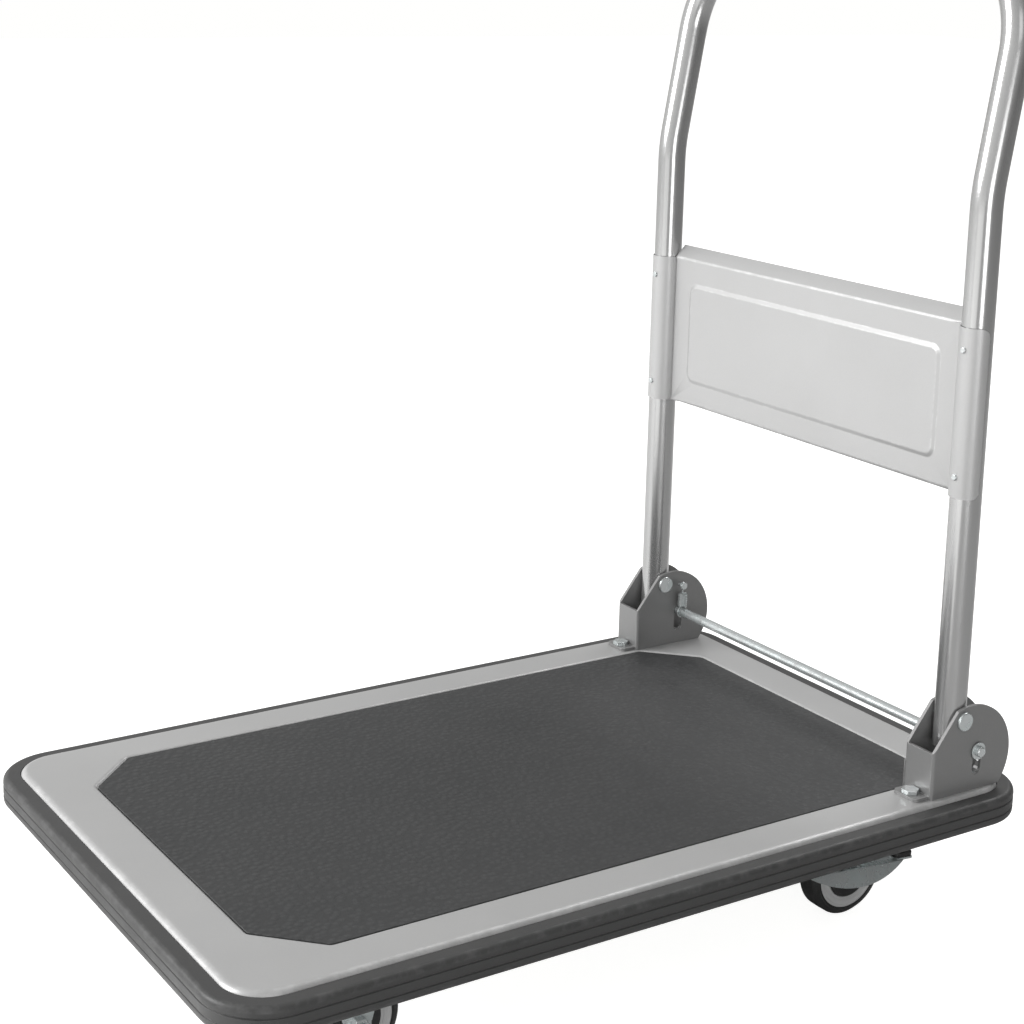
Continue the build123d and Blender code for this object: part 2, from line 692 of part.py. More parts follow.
spring_x = half_handle - bracket_width / 2 - spring_off - spring_radius - spring_wire
post_z = bar_z + post_above_bar
with BuildPart() as spring_posts:
    for side in sides.values():
        with BuildSketch(Plane.YZ.offset(side * (half_handle - bracket_width / 2))):
            with Locations((bar_y, post_z)):
                Circle(post_radius)
        extrude(amount=-side * (half_handle - bracket_width / 2 - spring_x + 2 * spring_wire))
        with BuildSketch(Plane.YZ.offset(side * (spring_x - 2 * spring_wire))):
            with Locations((bar_y, post_z)):
                Circle(post_head)
        extrude(amount=-side * clip_thickness)
save(spring_posts.part, "spring_posts")

coil_length = spring_turns * 2 * spring_wire
coil_middle = (bar_z + bar_radius + post_z - post_radius) / 2
for side_name, side in sides.items():
    with BuildPart() as release_spring:
        # a close-wound coil: stacked turns with a round hook at each end
        for turn in range(spring_turns):
            level = coil_middle - coil_length / 2 + (2 * turn + 1) * spring_wire
            with Locations((side * spring_x, bar_y, level)):
                Torus(spring_radius, spring_wire * 1.02)
        for centre_z, ring in ((post_z, post_radius), (bar_z, bar_radius)):
            with Locations(Location((side * spring_x, bar_y, centre_z), (0, 90, 0))):
                Torus(ring + spring_wire + 0.1, spring_wire)
            hook_far = centre_z + (ring + spring_wire + 0.1) * (-1 if centre_z > coil_middle else 1)
            coil_near = coil_middle + coil_length / 2 * (1 if centre_z > coil_middle else -1)
            with BuildSketch(Plane.XY.offset(min(hook_far, coil_near) - spring_wire / 2)):
                with Locations((side * spring_x, bar_y)):
                    Rectangle(2 * spring_wire, 2 * (spring_radius + spring_wire / 2))
            extrude(amount=abs(hook_far - coil_near) + spring_wire)
    save(release_spring.part, f"release_spring_{side_name}")

# ================= handle =================
leg_bottom = pivot_z - tube_below_pivot
bend_z = deck_height + bend_height
top_centre_z = deck_height + handle_top - tube_radius
lean_back = (top_centre_z - bend_z) * tan(radians(lean))
leg_points = [(half_handle, handle_y, leg_bottom), (half_handle, handle_y, bend_z),
              (half_handle, handle_y + lean_back, top_centre_z), (0, handle_y + lean_back, top_centre_z)]
with BuildPart() as handle_tube:
    with BuildLine() as tube_path:
        FilletPolyline(*leg_points, radius=[lean_radius, corner_radius])
    with BuildSketch(Plane.XY.offset(leg_bottom)):
        with Locations((half_handle, handle_y)):
            Circle(tube_radius)
            Circle(tube_radius - tube_wall, mode=Mode.SUBTRACT)
    sweep(path=tube_path.line)
    mirror(about=Plane.YZ)
    for side in sides.values():
        with BuildSketch(Plane.YZ.offset(side * half_handle - tube_radius)):
            with Locations((handle_y, pivot_z)):
                Circle(pin_radius + running_clearance)
        extrude(amount=2 * tube_radius, mode=Mode.SUBTRACT)
save(handle_tube.part, "handle_tube")

# the panel: a flat sheet between the legs whose ends wrap round the front of the tubes
sleeve_inner = tube_radius + panel_tube_gap
sleeve_outer = sleeve_inner + panel_sheet
panel_z_low = deck_height + panel_low
panel_z_high = deck_height + panel_high
panel_height = panel_z_high - panel_z_low
flat_half = half_handle - sleeve_inner
with BuildPart() as handle_panel:
    with BuildSketch(Plane.XY.offset(panel_z_low)):
        with Locations((0, handle_y)):
            Rectangle(2 * flat_half, panel_sheet)
        for side in sides.values():
            with Locations((side * half_handle, handle_y)):
                Circle(sleeve_outer)
                Circle(sleeve_inner, mode=Mode.SUBTRACT)
        with Locations((0, handle_y + panel_sheet / 2 + sleeve_outer / 2)):
            Rectangle(2 * (half_handle + sleeve_outer), sleeve_outer, mode=Mode.SUBTRACT)
    extrude(amount=panel_height)
    # holes for the rivets
    for side in sides.values():
        with BuildSketch(Plane.XZ.offset(-handle_y)):
            for rivet_z in (panel_z_low + rivet_inset, panel_z_high - rivet_inset):
                with Locations((side * half_handle, rivet_z)):
                    Circle(rivet_radius)
        extrude(amount=2 * tube_radius, mode=Mode.SUBTRACT)
    # sloped strip along the top and turned-in hem along the bottom, between the tubes
    strip_x = flat_half - face_gap
    strip_rise = panel_top_band * tan(radians(panel_top_slope))
    front_y = handle_y - panel_sheet / 2
    back_y = handle_y + panel_sheet / 2
    with BuildSketch(Plane.YZ.offset(-strip_x)):
        Polygon((front_y, panel_z_high), (front_y + strip_rise, panel_z_high + panel_top_band),
                (back_y + strip_rise, panel_z_high + panel_top_band), (back_y, panel_z_high),
                align=None)
        Polygon((front_y, panel_z_low), (back_y + panel_hem, panel_z_low),
                (back_y + panel_hem, panel_z_low + panel_sheet), (front_y, panel_z_low + panel_sheet),
                align=None)
    extrude(amount=2 * strip_x)
    # raised field pressed forward
    emboss_width = 2 * (flat_half - emboss_margin_x)
    emboss_height = panel_height - emboss_low - emboss_high
    emboss_centre = (0, (panel_z_low + emboss_low + panel_z_high - emboss_high) / 2)
    with BuildSketch(Plane.XZ.offset(-front_y)):
        with Locations(emboss_centre):
            RectangleRounded(emboss_width, emboss_height, emboss_corner)
    extrude(amount=emboss_depth, taper=30)
    with BuildSketch(Plane.XZ.offset(-back_y)):
        with Locations(emboss_centre):
            RectangleRounded(emboss_width - panel_sheet, emboss_height - panel_sheet,
                             emboss_corner - panel_sheet / 2)
    extrude(amount=emboss_depth, taper=30, mode=Mode.SUBTRACT)
save(handle_panel.part, "handle_panel")

with BuildPart() as panel_rivets:
    for side in sides.values():
        for rivet_z in (panel_z_low + rivet_inset, panel_z_high - rivet_inset):
            rivet_plane = Plane(origin=(side * half_handle, handle_y, rivet_z), x_dir=(1, 0, 0),
                                z_dir=(0, -1, 0))
            with BuildSketch(rivet_plane.offset(tube_radius)):
                Circle(rivet_radius)
            extrude(amount=panel_tube_gap + panel_sheet + rivet_head)
            fillet(panel_rivets.faces().sort_by(Axis.Y)[0].edges(), rivet_head / 2)
save(panel_rivets.part, "panel_rivets")
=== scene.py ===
import json
import logging
import math
from dataclasses import dataclass
from enum import Enum
from typing import Any, Callable, Sequence

import bmesh
import bpy
from mathutils import Matrix, Vector

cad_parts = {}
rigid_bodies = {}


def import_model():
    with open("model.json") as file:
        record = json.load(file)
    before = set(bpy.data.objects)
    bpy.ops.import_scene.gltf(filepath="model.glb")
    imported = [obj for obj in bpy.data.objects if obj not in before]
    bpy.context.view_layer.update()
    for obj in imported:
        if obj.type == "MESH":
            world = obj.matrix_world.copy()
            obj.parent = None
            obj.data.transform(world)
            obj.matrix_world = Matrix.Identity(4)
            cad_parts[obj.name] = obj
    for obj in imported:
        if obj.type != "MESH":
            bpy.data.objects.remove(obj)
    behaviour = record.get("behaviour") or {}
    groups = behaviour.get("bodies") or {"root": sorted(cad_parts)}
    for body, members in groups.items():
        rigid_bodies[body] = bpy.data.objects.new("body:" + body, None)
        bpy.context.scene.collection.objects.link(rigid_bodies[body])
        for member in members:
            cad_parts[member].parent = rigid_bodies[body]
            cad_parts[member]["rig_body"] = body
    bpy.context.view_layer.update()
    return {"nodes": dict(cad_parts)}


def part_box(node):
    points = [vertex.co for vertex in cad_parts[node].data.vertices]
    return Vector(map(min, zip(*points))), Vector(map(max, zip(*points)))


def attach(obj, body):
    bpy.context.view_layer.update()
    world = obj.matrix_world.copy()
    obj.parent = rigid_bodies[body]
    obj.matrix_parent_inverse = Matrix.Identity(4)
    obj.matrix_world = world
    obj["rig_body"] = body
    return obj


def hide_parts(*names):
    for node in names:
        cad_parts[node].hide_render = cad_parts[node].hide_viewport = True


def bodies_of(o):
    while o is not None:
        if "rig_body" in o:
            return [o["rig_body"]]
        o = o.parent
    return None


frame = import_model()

MM = 0.001
CLOSE = 1e-6  # metres: two places nearer than this are one
X_AXIS = Vector((1.0, 0.0, 0.0))
Z_AXIS = Vector((0.0, 0.0, 1.0))
UPRIGHT = Matrix.Rotation(math.pi / 2, 4, "X")  # stands a flat outline up
ROUND_STEPS = 96
WORN_EDGE = "worn_edge"

log = logging.getLogger("platform_cart")

Loop = list[bmesh.types.BMEdge]
Outline = list[tuple[float, float]]
Colour = tuple[float, float, float, float]

PALE_WHITE: Colour = (1.0, 1.0, 0.99, 1.0)


class Side(Enum):
    """The cart's two sides, with the sign of X on each."""

    RIGHT = 1
    LEFT = -1

    @property
    def label(self) -> str:
        """The side's name as the nodes spell it."""
        return self.name.lower()


class End(Enum):
    """The cart's two ends: fixed casters at the front, swivel casters at the rear."""

    FRONT = "front"
    REAR = "rear"


class Grain(Enum):
    """The surface patterns that moulded rubber comes with."""

    SMOOTH = "smooth"
    PEBBLED = "pebbled"


# ---------------------------------------------------------------- shader wiring


class Wiring:
    """Adds and links the nodes of one node tree."""

    def __init__(self, tree: bpy.types.NodeTree) -> None:
        """Start with an empty tree.

        Args:
            tree: The node tree to fill.
        """
        self.tree = tree
        tree.nodes.clear()

    def add(self, kind: str, plugs: dict[Any, Any] | None = None, **settings: Any) -> bpy.types.Node:
        """Add a node, set its properties, and fill or link its inputs.

        Args:
            kind: The node's type name.
            plugs: Input name or number, and a constant or the socket to link from.
            settings: Properties of the node.

        Returns:
            The new node.
        """
        node = self.tree.nodes.new(kind)
        for name, value in settings.items():
            setattr(node, name, value)
        for key, value in (plugs or {}).items():
            if isinstance(value, bpy.types.NodeSocket):
                self.tree.links.new(value, node.inputs[key])
            else:
                node.inputs[key].default_value = value
        return node

    def place(self) -> bpy.types.NodeSocket:
        """Object coordinates, in metres."""
        return self.add("ShaderNodeTexCoord").outputs["Object"]

    def speckle(self, per_metre: Any, detail: float = 2.0, roughness: float = 0.5,
                place: Any = None) -> bpy.types.NodeSocket:
        """Noise with a number of lumps to the metre.

        Args:
            per_metre: Lumps per metre, a number or a socket.
            detail: Octaves of finer noise.
            roughness: How strong the finer octaves are.
            place: Coordinates to read, or None for object coordinates.

        Returns:
            The noise value socket.
        """
        place = self.place() if place is None else place
        return self.add("ShaderNodeTexNoise", {"Vector": place, "Scale": per_metre, "Detail": detail,
                                               "Roughness": roughness}).outputs["Fac"]

    def noise(self, size: float, detail: float = 2.0, roughness: float = 0.5) -> bpy.types.NodeSocket:
        """Noise whose lumps are about the given size across, in metres."""
        return self.speckle(1.0 / size, detail, roughness)

    def math(self, operation: str, first: Any, second: Any) -> bpy.types.NodeSocket:
        """One arithmetic step, kept between 0 and 1.

        Args:
            operation: The Math node's operation.
            first: A number or a socket.
            second: A number or a socket.

        Returns:
            The result socket.
        """
        return self.add("ShaderNodeMath", {0: first, 1: second}, operation=operation,
                        use_clamp=True).outputs[0]

    def shared(self, first: Any, second: Any, share: float) -> bpy.types.NodeSocket:
        """Two values added, the first by its share and the second by the rest."""
        return self.math("ADD", self.math("MULTIPLY", first, share),
                         self.math("MULTIPLY", second, 1.0 - share))

    def spread(self, value: Any, low: float, high: float, start: float = 0.0,
               stop: float = 1.0) -> bpy.types.NodeSocket:
        """Stretch the part of a value between low and high over start to stop.

        Args:
            value: The socket to stretch.
            low: Input that gives start.
            high: Input that gives stop.
            start: Output at low.
            stop: Output at high.

        Returns:
            The stretched value socket.
        """
        return self.add("ShaderNodeMapRange", {"Value": value, "From Min": low, "From Max": high,
                                               "To Min": start, "To Max": stop}).outputs[0]

    def blend(self, mask: Any, first: Any, second: Any) -> bpy.types.NodeSocket:
        """Mix two colours by a mask.

        Args:
            mask: The socket that is 0 for the first colour and 1 for the second.
            first: A colour or a socket.
            second: A colour or a socket.

        Returns:
            The mixed colour socket.
        """
        return self.add("ShaderNodeMix", {0: mask, 6: first, 7: second},
                        data_type="RGBA").outputs[2]

    def bump(self, height: Any, depth: float, strength: float = 1.0,
             over: Any = None) -> bpy.types.NodeSocket:
        """A normal bent by a height.

        Args:
            height: The height socket, 0 to 1.
            depth: Depth in metres between heights 0 and 1.
            strength: How much of the bend is used.
            over: A normal to start from.

        Returns:
            The normal socket.
        """
        plugs = {"Height": height, "Distance": depth, "Strength": strength}
        if over is not None:
            plugs["Normal"] = over
        return self.add("ShaderNodeBump", plugs).outputs["Normal"]


def shared_group(name: str, inputs: dict[str, float], outputs: dict[str, str],
                 wire: Callable[[Wiring, Any], dict[str, Any]]) -> bpy.types.NodeTree:
    """Build a node group once, or return the one already built.

    Args:
        name: The group's name.
        inputs: Number inputs and their usual values.
        outputs: Outputs and their socket types.
        wire: Fills the group and returns the socket for each output.

    Returns:
        The group's node tree.
    """
    known = bpy.data.node_groups.get(name)
    if known:
        return known
    tree = bpy.data.node_groups.new(name, "ShaderNodeTree")
    for label, value in inputs.items():
        socket = tree.interface.new_socket(label, in_out="INPUT", socket_type="NodeSocketFloat")
        socket.default_value = value
    for label, kind in outputs.items():
        tree.interface.new_socket(label, in_out="OUTPUT", socket_type=kind)
    wiring = Wiring(tree)
    entry = wiring.add("NodeGroupInput")
    leave = wiring.add("NodeGroupOutput")
    for label, socket in wire(wiring, entry.outputs).items():
        tree.links.new(socket, leave.inputs[label])
    return tree


FLOAT = "NodeSocketFloat"
VECTOR = "NodeSocketVector"


def edge_wear_group() -> bpy.types.NodeTree:
    """A mask of broken wear along the bevelled edges, read from the piece's own attribute.

    Returns:
        The group.
    """

    def wire(wiring: Wiring, entry: Any) -> dict[str, Any]:
        """Break up the worn edges with coarse noise.

        Args:
            wiring: The group's nodes.
            entry: The group's inputs.

        Returns:
            The socket for each output.
        """
        edge = wiring.add("ShaderNodeAttribute", attribute_name=WORN_EDGE).outputs["Fac"]
        patches = wiring.spread(wiring.noise(14 * MM, detail=4.0, roughness=0.65), 0.46, 0.62)
        return {"Mask": wiring.math("MULTIPLY", wiring.math("MULTIPLY", edge, patches),
                                    entry["Amount"])}

    return shared_group("edge wear", {"Amount": 0.5}, {"Mask": FLOAT}, wire)


def settled_dust_group() -> bpy.types.NodeTree:
    """A mask of thin dust: soft patches on faces turned upwards, and fine specks all over.

    Returns:
        The group.
    """

    def wire(wiring: Wiring, entry: Any) -> dict[str, Any]:
        """Lay patches by broad noise where faces look up, and add the specks.

        Args:
            wiring: The group's nodes.
            entry: The group's inputs.

        Returns:
            The socket for each output.
        """
        normal = wiring.add("ShaderNodeTexCoord").outputs["Normal"]
        upward = wiring.add("ShaderNodeSeparateXYZ", {0: normal}).outputs["Z"]
        level = wiring.spread(upward, 0.2, 1.0)
        patches = wiring.spread(wiring.noise(110 * MM, detail=5.0, roughness=0.6), 0.35, 0.75)
        specks = wiring.spread(wiring.noise(1.6 * MM, detail=1.0), 0.5, 0.85)
        layer = wiring.math("ADD", wiring.math("MULTIPLY", level, patches),
                            wiring.math("MULTIPLY", specks, 0.25))
        return {"Mask": wiring.math("MULTIPLY", layer, entry["Amount"])}

    return shared_group("settled dust", {"Amount": 0.2}, {"Mask": FLOAT}, wire)


def orange_peel_group() -> bpy.types.NodeTree:
    """The faint ripple of sprayed paint, with fine flake over it.

    Returns:
        The group.
    """

    def wire(wiring: Wiring, entry: Any) -> dict[str, Any]:
        """Ripple as a normal, flake and drift as values.

        Args:
            wiring: The group's nodes.
            entry: The group's inputs.

        Returns:
            The socket for each output.
        """
        ripple = wiring.speckle(entry["Ripples per metre"], detail=1.0, roughness=0.4)
        flake = wiring.speckle(entry["Flakes per metre"], detail=1.0, roughness=0.8)
        drift = wiring.noise(160 * MM, detail=3.0, roughness=0.55)
        return {"Normal": wiring.bump(ripple, entry["Depth"]),
                "Flake": wiring.spread(flake, 0.3, 0.7), "Drift": wiring.spread(drift, 0.3, 0.7)}

    return shared_group("orange peel", {"Ripples per metre": 420.0, "Flakes per metre": 2600.0,
                                        "Depth": 0.04 * MM},
                        {"Normal": VECTOR, "Flake": FLOAT, "Drift": FLOAT}, wire)


def plating_group() -> bpy.types.NodeTree:
    """Zinc plating: soft clouds, faint rolling streaks and a fine pitted normal.

    Returns:
        The group.
    """

    def wire(wiring: Wiring, entry: Any) -> dict[str, Any]:
        """Pits as a normal, streaks along X and clouds as values.

        Args:
            wiring: The group's nodes.
            entry: The group's inputs.

        Returns:
            The socket for each output.
        """
        stretched = wiring.add("ShaderNodeMapping", {"Vector": wiring.place(),
                                                     "Scale": (90.0, 900.0, 900.0)})
        streaks = wiring.speckle(1.0, place=stretched.outputs[0])
        clouds = wiring.noise(13 * MM, detail=3.0, roughness=0.6)
        return {"Normal": wiring.bump(wiring.speckle(entry["Pits per metre"]), entry["Depth"]),
                "Streaks": wiring.spread(streaks, 0.3, 0.7),
                "Clouds": wiring.spread(clouds, 0.32, 0.68)}

    return shared_group("zinc plating", {"Pits per metre": 1500.0, "Depth": 0.02 * MM},
                        {"Normal": VECTOR, "Streaks": FLOAT, "Clouds": FLOAT}, wire)


def rubber_grain_group() -> bpy.types.NodeTree:
    """Moulded rubber or plastic: a fine matt grain and soft bloom on the surface.

    Returns:
        The group.
    """

    def wire(wiring: Wiring, entry: Any) -> dict[str, Any]:
        """Grain as a normal and a value, bloom as a value.

        Args:
            wiring: The group's nodes.
            entry: The group's inputs.

        Returns:
            The socket for each output.
        """
        grain = wiring.speckle(entry["Grains per metre"], detail=3.0, roughness=0.6)
        bloom = wiring.noise(35 * MM, detail=4.0, roughness=0.6)
        return {"Normal": wiring.bump(grain, entry["Depth"]),
                "Grain": wiring.spread(grain, 0.3, 0.7), "Bloom": wiring.spread(bloom, 0.35, 0.7)}

    return shared_group("rubber grain", {"Grains per metre": 1400.0, "Depth": 0.06 * MM},
                        {"Normal": VECTOR, "Grain": FLOAT, "Bloom": FLOAT}, wire)


# ---------------------------------------------------------------- finishes


def grey(level: float, warm: float = 0.0) -> Colour:
    """A grey of the given brightness, warmer above 0 and cooler below.

    Args:
        level: Linear brightness.
        warm: Warmth, a few hundredths at most.

    Returns:
        The colour.
    """
    return (level * (1 + warm), level, level * (1 - warm), 1.0)


@dataclass(frozen=True)
class Finish:
    """A surface finish: its name and the record's material slot it belongs to."""

    name: str
    slot: str

    def material(self) -> bpy.types.Material:
        """The finish's material, built the first time it is asked for.

        Returns:
            The material.
        """
        known = bpy.data.materials.get(self.name)
        if known:
            return known
        material = bpy.data.materials.new(self.name)
        material.use_nodes = True
        wiring = Wiring(material.node_tree)
        shader = wiring.add("ShaderNodeBsdfPrincipled")
        output = wiring.add("ShaderNodeOutputMaterial")
        material.node_tree.links.new(shader.outputs[0], output.inputs["Surface"])
        for label, value in self.coat(wiring).items():
            if isinstance(value, bpy.types.NodeSocket):
                material.node_tree.links.new(value, shader.inputs[label])
            else:
                shader.inputs[label].default_value = value
        return material

    def coat(self, wiring: Wiring) -> dict[str, Any]:
        """Wire the finish.

        Args:
            wiring: The material's nodes.

        Returns:
            The value or socket for each input of the shader.
        """
        raise NotImplementedError

    def group(self, wiring: Wiring, tree: bpy.types.NodeTree, **values: float) -> Any:
        """Place a shared group with this finish's own values.

        Args:
            wiring: The material's nodes.
            tree: The group.
            values: Input values, with underscores for spaces.

        Returns:
            The group node's outputs.
        """
        node = wiring.add("ShaderNodeGroup", node_tree=tree)
        for label, value in values.items():
            node.inputs[label.replace("_", " ")].default_value = value
        return node.outputs


@dataclass(frozen=True)
class WornFinish(Finish):
    """A finish in two close tones that rubs off along its edges and gathers dust."""

    light: Colour
    shade: Colour
    roughness: float = 0.45
    smoother: float = 0.06
    rougher: float = 0.1
    wear: float = 0.35
    rubbed: Colour = grey(0.7)
    dust: float = 0.12
    settled: Colour = grey(0.35, 0.04)

    def aged(self, wiring: Wiring, colour: Any) -> tuple[Any, Any]:
        """Rub a colour through along the edges, then lay dust over it.

        Args:
            wiring: The material's nodes.
            colour: The colour socket of the fresh finish.

        Returns:
            The aged colour's socket, and the dust mask's.
        """
        worn = self.group(wiring, edge_wear_group(), Amount=self.wear)["Mask"]
        dust = self.group(wiring, settled_dust_group(), Amount=self.dust)["Mask"]
        colour = wiring.blend(worn, colour, self.rubbed)
        return wiring.blend(dust, colour, self.settled), dust

    def gloss(self, wiring: Wiring, drift: Any) -> bpy.types.NodeSocket:
        """Roughness that drifts round its usual value, following a socket from 0 to 1."""
        return wiring.spread(drift, 0.0, 1.0, self.roughness - self.smoother,
                             self.roughness + self.rougher)


@dataclass(frozen=True)
class MetalPaint(WornFinish):
    """Sprayed metallic paint over steel, thinner and brighter where edges have rubbed."""

    roughness: float = 0.38
    smoother: float = 0.05
    rougher: float = 0.07
    rubbed: Colour = grey(0.72)
    settled: Colour = grey(0.62, 0.02)
    metallic: float = 0.5
    coat_weight: float = 0.15
    peel: float = 0.04 * MM
    flake_share: float = 0.55
    dusty_roughness: float = 0.75

    def coat(self, wiring: Wiring) -> dict[str, Any]:
        """Flake and drift in the colour, wear on the edges, dust on top.

        Args:
            wiring: The material's nodes.

        Returns:
            The value or socket for each input of the shader.
        """
        peel = self.group(wiring, orange_peel_group(), Depth=self.peel)
        tone = wiring.shared(peel["Flake"], peel["Drift"], self.flake_share)
        colour, dust = self.aged(wiring, wiring.blend(tone, self.shade, self.light))
        rough = wiring.add("ShaderNodeMix", {0: dust, 2: self.gloss(wiring, peel["Flake"]),
                                             3: self.dusty_roughness}).outputs[0]
        return {"Base Color": colour, "Roughness": rough, "Metallic": self.metallic,
                "Normal": peel["Normal"], "Coat Weight": self.coat_weight, "Coat Roughness": 0.22}


@dataclass(frozen=True)
class Rubber(WornFinish):
    """Moulded rubber, dusty in its grain and a little polished where it rubs."""

    smoother: float = 0.08
    wear: float = 0.3
    rubbed: Colour = grey(0.14)
    settled: Colour = grey(0.34, 0.03)
    grains: float = 1400.0
    grain_depth: float = 0.06 * MM
    grain: Grain = Grain.SMOOTH
    pebbles: float = 175.0
    pebble_depth: float = 0.5 * MM

    def coat(self, wiring: Wiring) -> dict[str, Any]:
        """Grain in the normal, bloom and dust in the colour, a pebbled face where asked for, with
        painted shade in the hollows between its pebbles.

        Args:
            wiring: The material's nodes.

        Returns:
            The value or socket for each input of the shader.
        """
        grains = self.group(wiring, rubber_grain_group(), Grains_per_metre=self.grains,
                            Depth=self.grain_depth)
        tone = wiring.shared(grains["Grain"], grains["Bloom"], 0.5)
        normal = grains["Normal"]
        if self.grain is Grain.PEBBLED:
            pebbles = wiring.add("ShaderNodeTexVoronoi", {"Vector": wiring.place(),
                                                          "Scale": self.pebbles, "Smoothness": 0.5,
                                                          "Randomness": 0.85}, feature="SMOOTH_F1")
            height = wiring.spread(pebbles.outputs["Distance"], 0.1, 0.6, 1.0, 0.0)
            normal = wiring.bump(height, self.pebble_depth, 0.85, normal)
            # Painted shade: the pebbles' height also colours the rubber, darker in the hollows
            # between them and lighter on their tops.
            tone = wiring.shared(tone, height, 0.55)
        colour, _ = self.aged(wiring, wiring.blend(tone, self.shade, self.light))
        return {"Base Color": colour, "Roughness": self.gloss(wiring, grains["Bloom"]),
                "Normal": normal, "Specular IOR Level": 0.4}


@dataclass(frozen=True)
class Plating(WornFinish):
    """Bright zinc plating with a faint blue-green cast."""

    light: Colour = (0.75, 0.78, 0.78, 1.0)
    shade: Colour = (0.64, 0.68, 0.69, 1.0)
    cast: Colour = (0.61, 0.70, 0.70, 1.0)
    metallic: float = 0.7
    roughness: float = 0.27
    smoother: float = 0.07
    rougher: float = 0.12
    wear: float = 0.4
    rubbed: Colour = grey(0.82)
    dust: float = 0.06
    settled: Colour = grey(0.4, 0.04)
    pit_depth: float = 0.005 * MM

    def coat(self, wiring: Wiring) -> dict[str, Any]:
        """Clouds and streaks in the colour and gloss, dust on top.

        Args:
            wiring: The material's nodes.

        Returns:
            The value or socket for each input of the shader.
        """
        plating = self.group(wiring, plating_group(), Depth=self.pit_depth)
        colour = wiring.blend(plating["Streaks"], self.shade, self.light)
        colour = wiring.blend(wiring.math("MULTIPLY", plating["Clouds"], 0.5), colour, self.cast)
        colour, _ = self.aged(wiring, colour)
        return {"Base Color": colour, "Roughness": self.gloss(wiring, plating["Clouds"]),
                "Metallic": self.metallic, "Normal": plating["Normal"]}


@dataclass(frozen=True)
class Moulding(WornFinish):
    """Injection-moulded plastic with a faint sheen and scuffed edges."""

    dust: float = 0.15
    grains: float = 900.0
    grain_depth: float = 0.03 * MM

    def coat(self, wiring: Wiring) -> dict[str, Any]:
        """Flow marks in the colour, fine texture in the normal.

        Args:
            wiring: The material's nodes.

        Returns:
            The value or socket for each input of the shader.
        """
        grains = self.group(wiring, rubber_grain_group(), Grains_per_metre=self.grains,
                            Depth=self.grain_depth)
        colour, _ = self.aged(wiring, wiring.blend(grains["Bloom"], self.shade, self.light))
        return {"Base Color": colour, "Roughness": self.gloss(wiring, grains["Grain"]),
                "Normal": grains["Normal"]}


@dataclass(frozen=True)
class StudioFloor(Finish):
    """The plain pale floor that the cart stands on, as bright as a lit sweep where it is seen.

    For glossy rays it also glows as a painted reflection: a bright strip that fades in over
    strip_edge, and a darker side that fades in over dark_edge, both as cosines of the angle to the
    way that they face.
    """

    light: Colour = grey(0.56, 0.004)
    shade: Colour = grey(0.54)
    seen_glow: float = 0.9
    strip_side: tuple[float, float, float] = (0.25, -0.968, 0.0)
    strip_edge: tuple[float, float] = (0.93, 0.965)
    strip_glow: float = 2.4
    dark_side: tuple[float, float, float] = (0.89, 0.457, 0.0)
    dark_edge: tuple[float, float] = (-0.3, 0.4)
    glow_far: float = 0.42
    glow_dark: float = 0.0

    def coat(self, wiring: Wiring) -> dict[str, Any]:
        """Nearly even white, with a painted reflection, a glowing bright strip and a dark side, that
        only gloss picks up.

        Args:
            wiring: The material's nodes.

        Returns:
            The value or socket for each input of the shader.
        """
        drift = wiring.spread(wiring.noise(600 * MM), 0.3, 0.7)
        rays = wiring.add("ShaderNodeLightPath").outputs
        outward = wiring.add("ShaderNodeVectorMath", {0: wiring.place()}, operation="NORMALIZE")
        strip, dark = (wiring.add("ShaderNodeVectorMath", {0: outward.outputs[0], 1: way},
                                  operation="DOT_PRODUCT").outputs["Value"]
                       for way in (self.strip_side, self.dark_side))
        # Painted reflection: the floor glows as a bright strip and goes dark on one side, for glossy
        # rays only.
        glow = wiring.math("ADD", wiring.spread(strip, *self.strip_edge, 0.0, self.strip_glow),
                           wiring.spread(dark, *self.dark_edge, self.glow_far, self.glow_dark))
        seen = wiring.math("MULTIPLY", rays["Is Camera Ray"], self.seen_glow)
        mirrored = wiring.math("MULTIPLY", rays["Is Glossy Ray"], glow)
        return {"Base Color": wiring.blend(drift, self.shade, self.light),
                "Roughness": wiring.spread(drift, 0.0, 1.0, 0.6, 0.7), "Emission Color": PALE_WHITE,
                "Emission Strength": wiring.math("ADD", seen, mirrored)}


SILVER = MetalPaint("silver paint", "silver_paint", light=grey(0.53), shade=grey(0.46),
                    metallic=0.35)
TUBE_SILVER = MetalPaint("silver tube paint", "silver_paint", light=grey(0.52), shade=grey(0.45),
                         metallic=0.85, roughness=0.2, coat_weight=0.2, peel=0.006 * MM, dust=0.02)
BRACKET_GREY = MetalPaint("hinge bracket paint", "bracket_steel", light=grey(0.27), shade=grey(0.23),
                          metallic=0.4, roughness=0.4, wear=0.5)
UNDER_GREY = MetalPaint("under deck paint", "under_steel", light=grey(0.34), shade=grey(0.27),
                        metallic=0.5, roughness=0.48, dust=0.05)
MAT_RUBBER = Rubber("deck mat rubber", "deck_mat", light=grey(0.056, -0.02), shade=grey(0.037, -0.02),
                    grain=Grain.PEBBLED, roughness=0.55, dust=0.02)
BUMPER_RUBBER = Rubber("bumper rubber", "bumper_rubber", light=grey(0.062), shade=grey(0.054),
                       roughness=0.46, grains=1100.0, dust=0.03)
TYRE_RUBBER = Rubber("tyre rubber", "tyre_rubber", light=grey(0.035), shade=grey(0.02),
                     roughness=0.5, dust=0.2)
PAD_RUBBER = Rubber("brake pad rubber", "pad_rubber", light=grey(0.03), shade=grey(0.016),
                    roughness=0.5)
HUB_NYLON = Moulding("grey hub nylon", "hub_plastic", light=grey(0.58), shade=grey(0.5))
GUARD_PLASTIC = Moulding("black guard plastic", "guard_plastic", light=grey(0.03),
                         shade=grey(0.018), roughness=0.4, rubbed=grey(0.045))
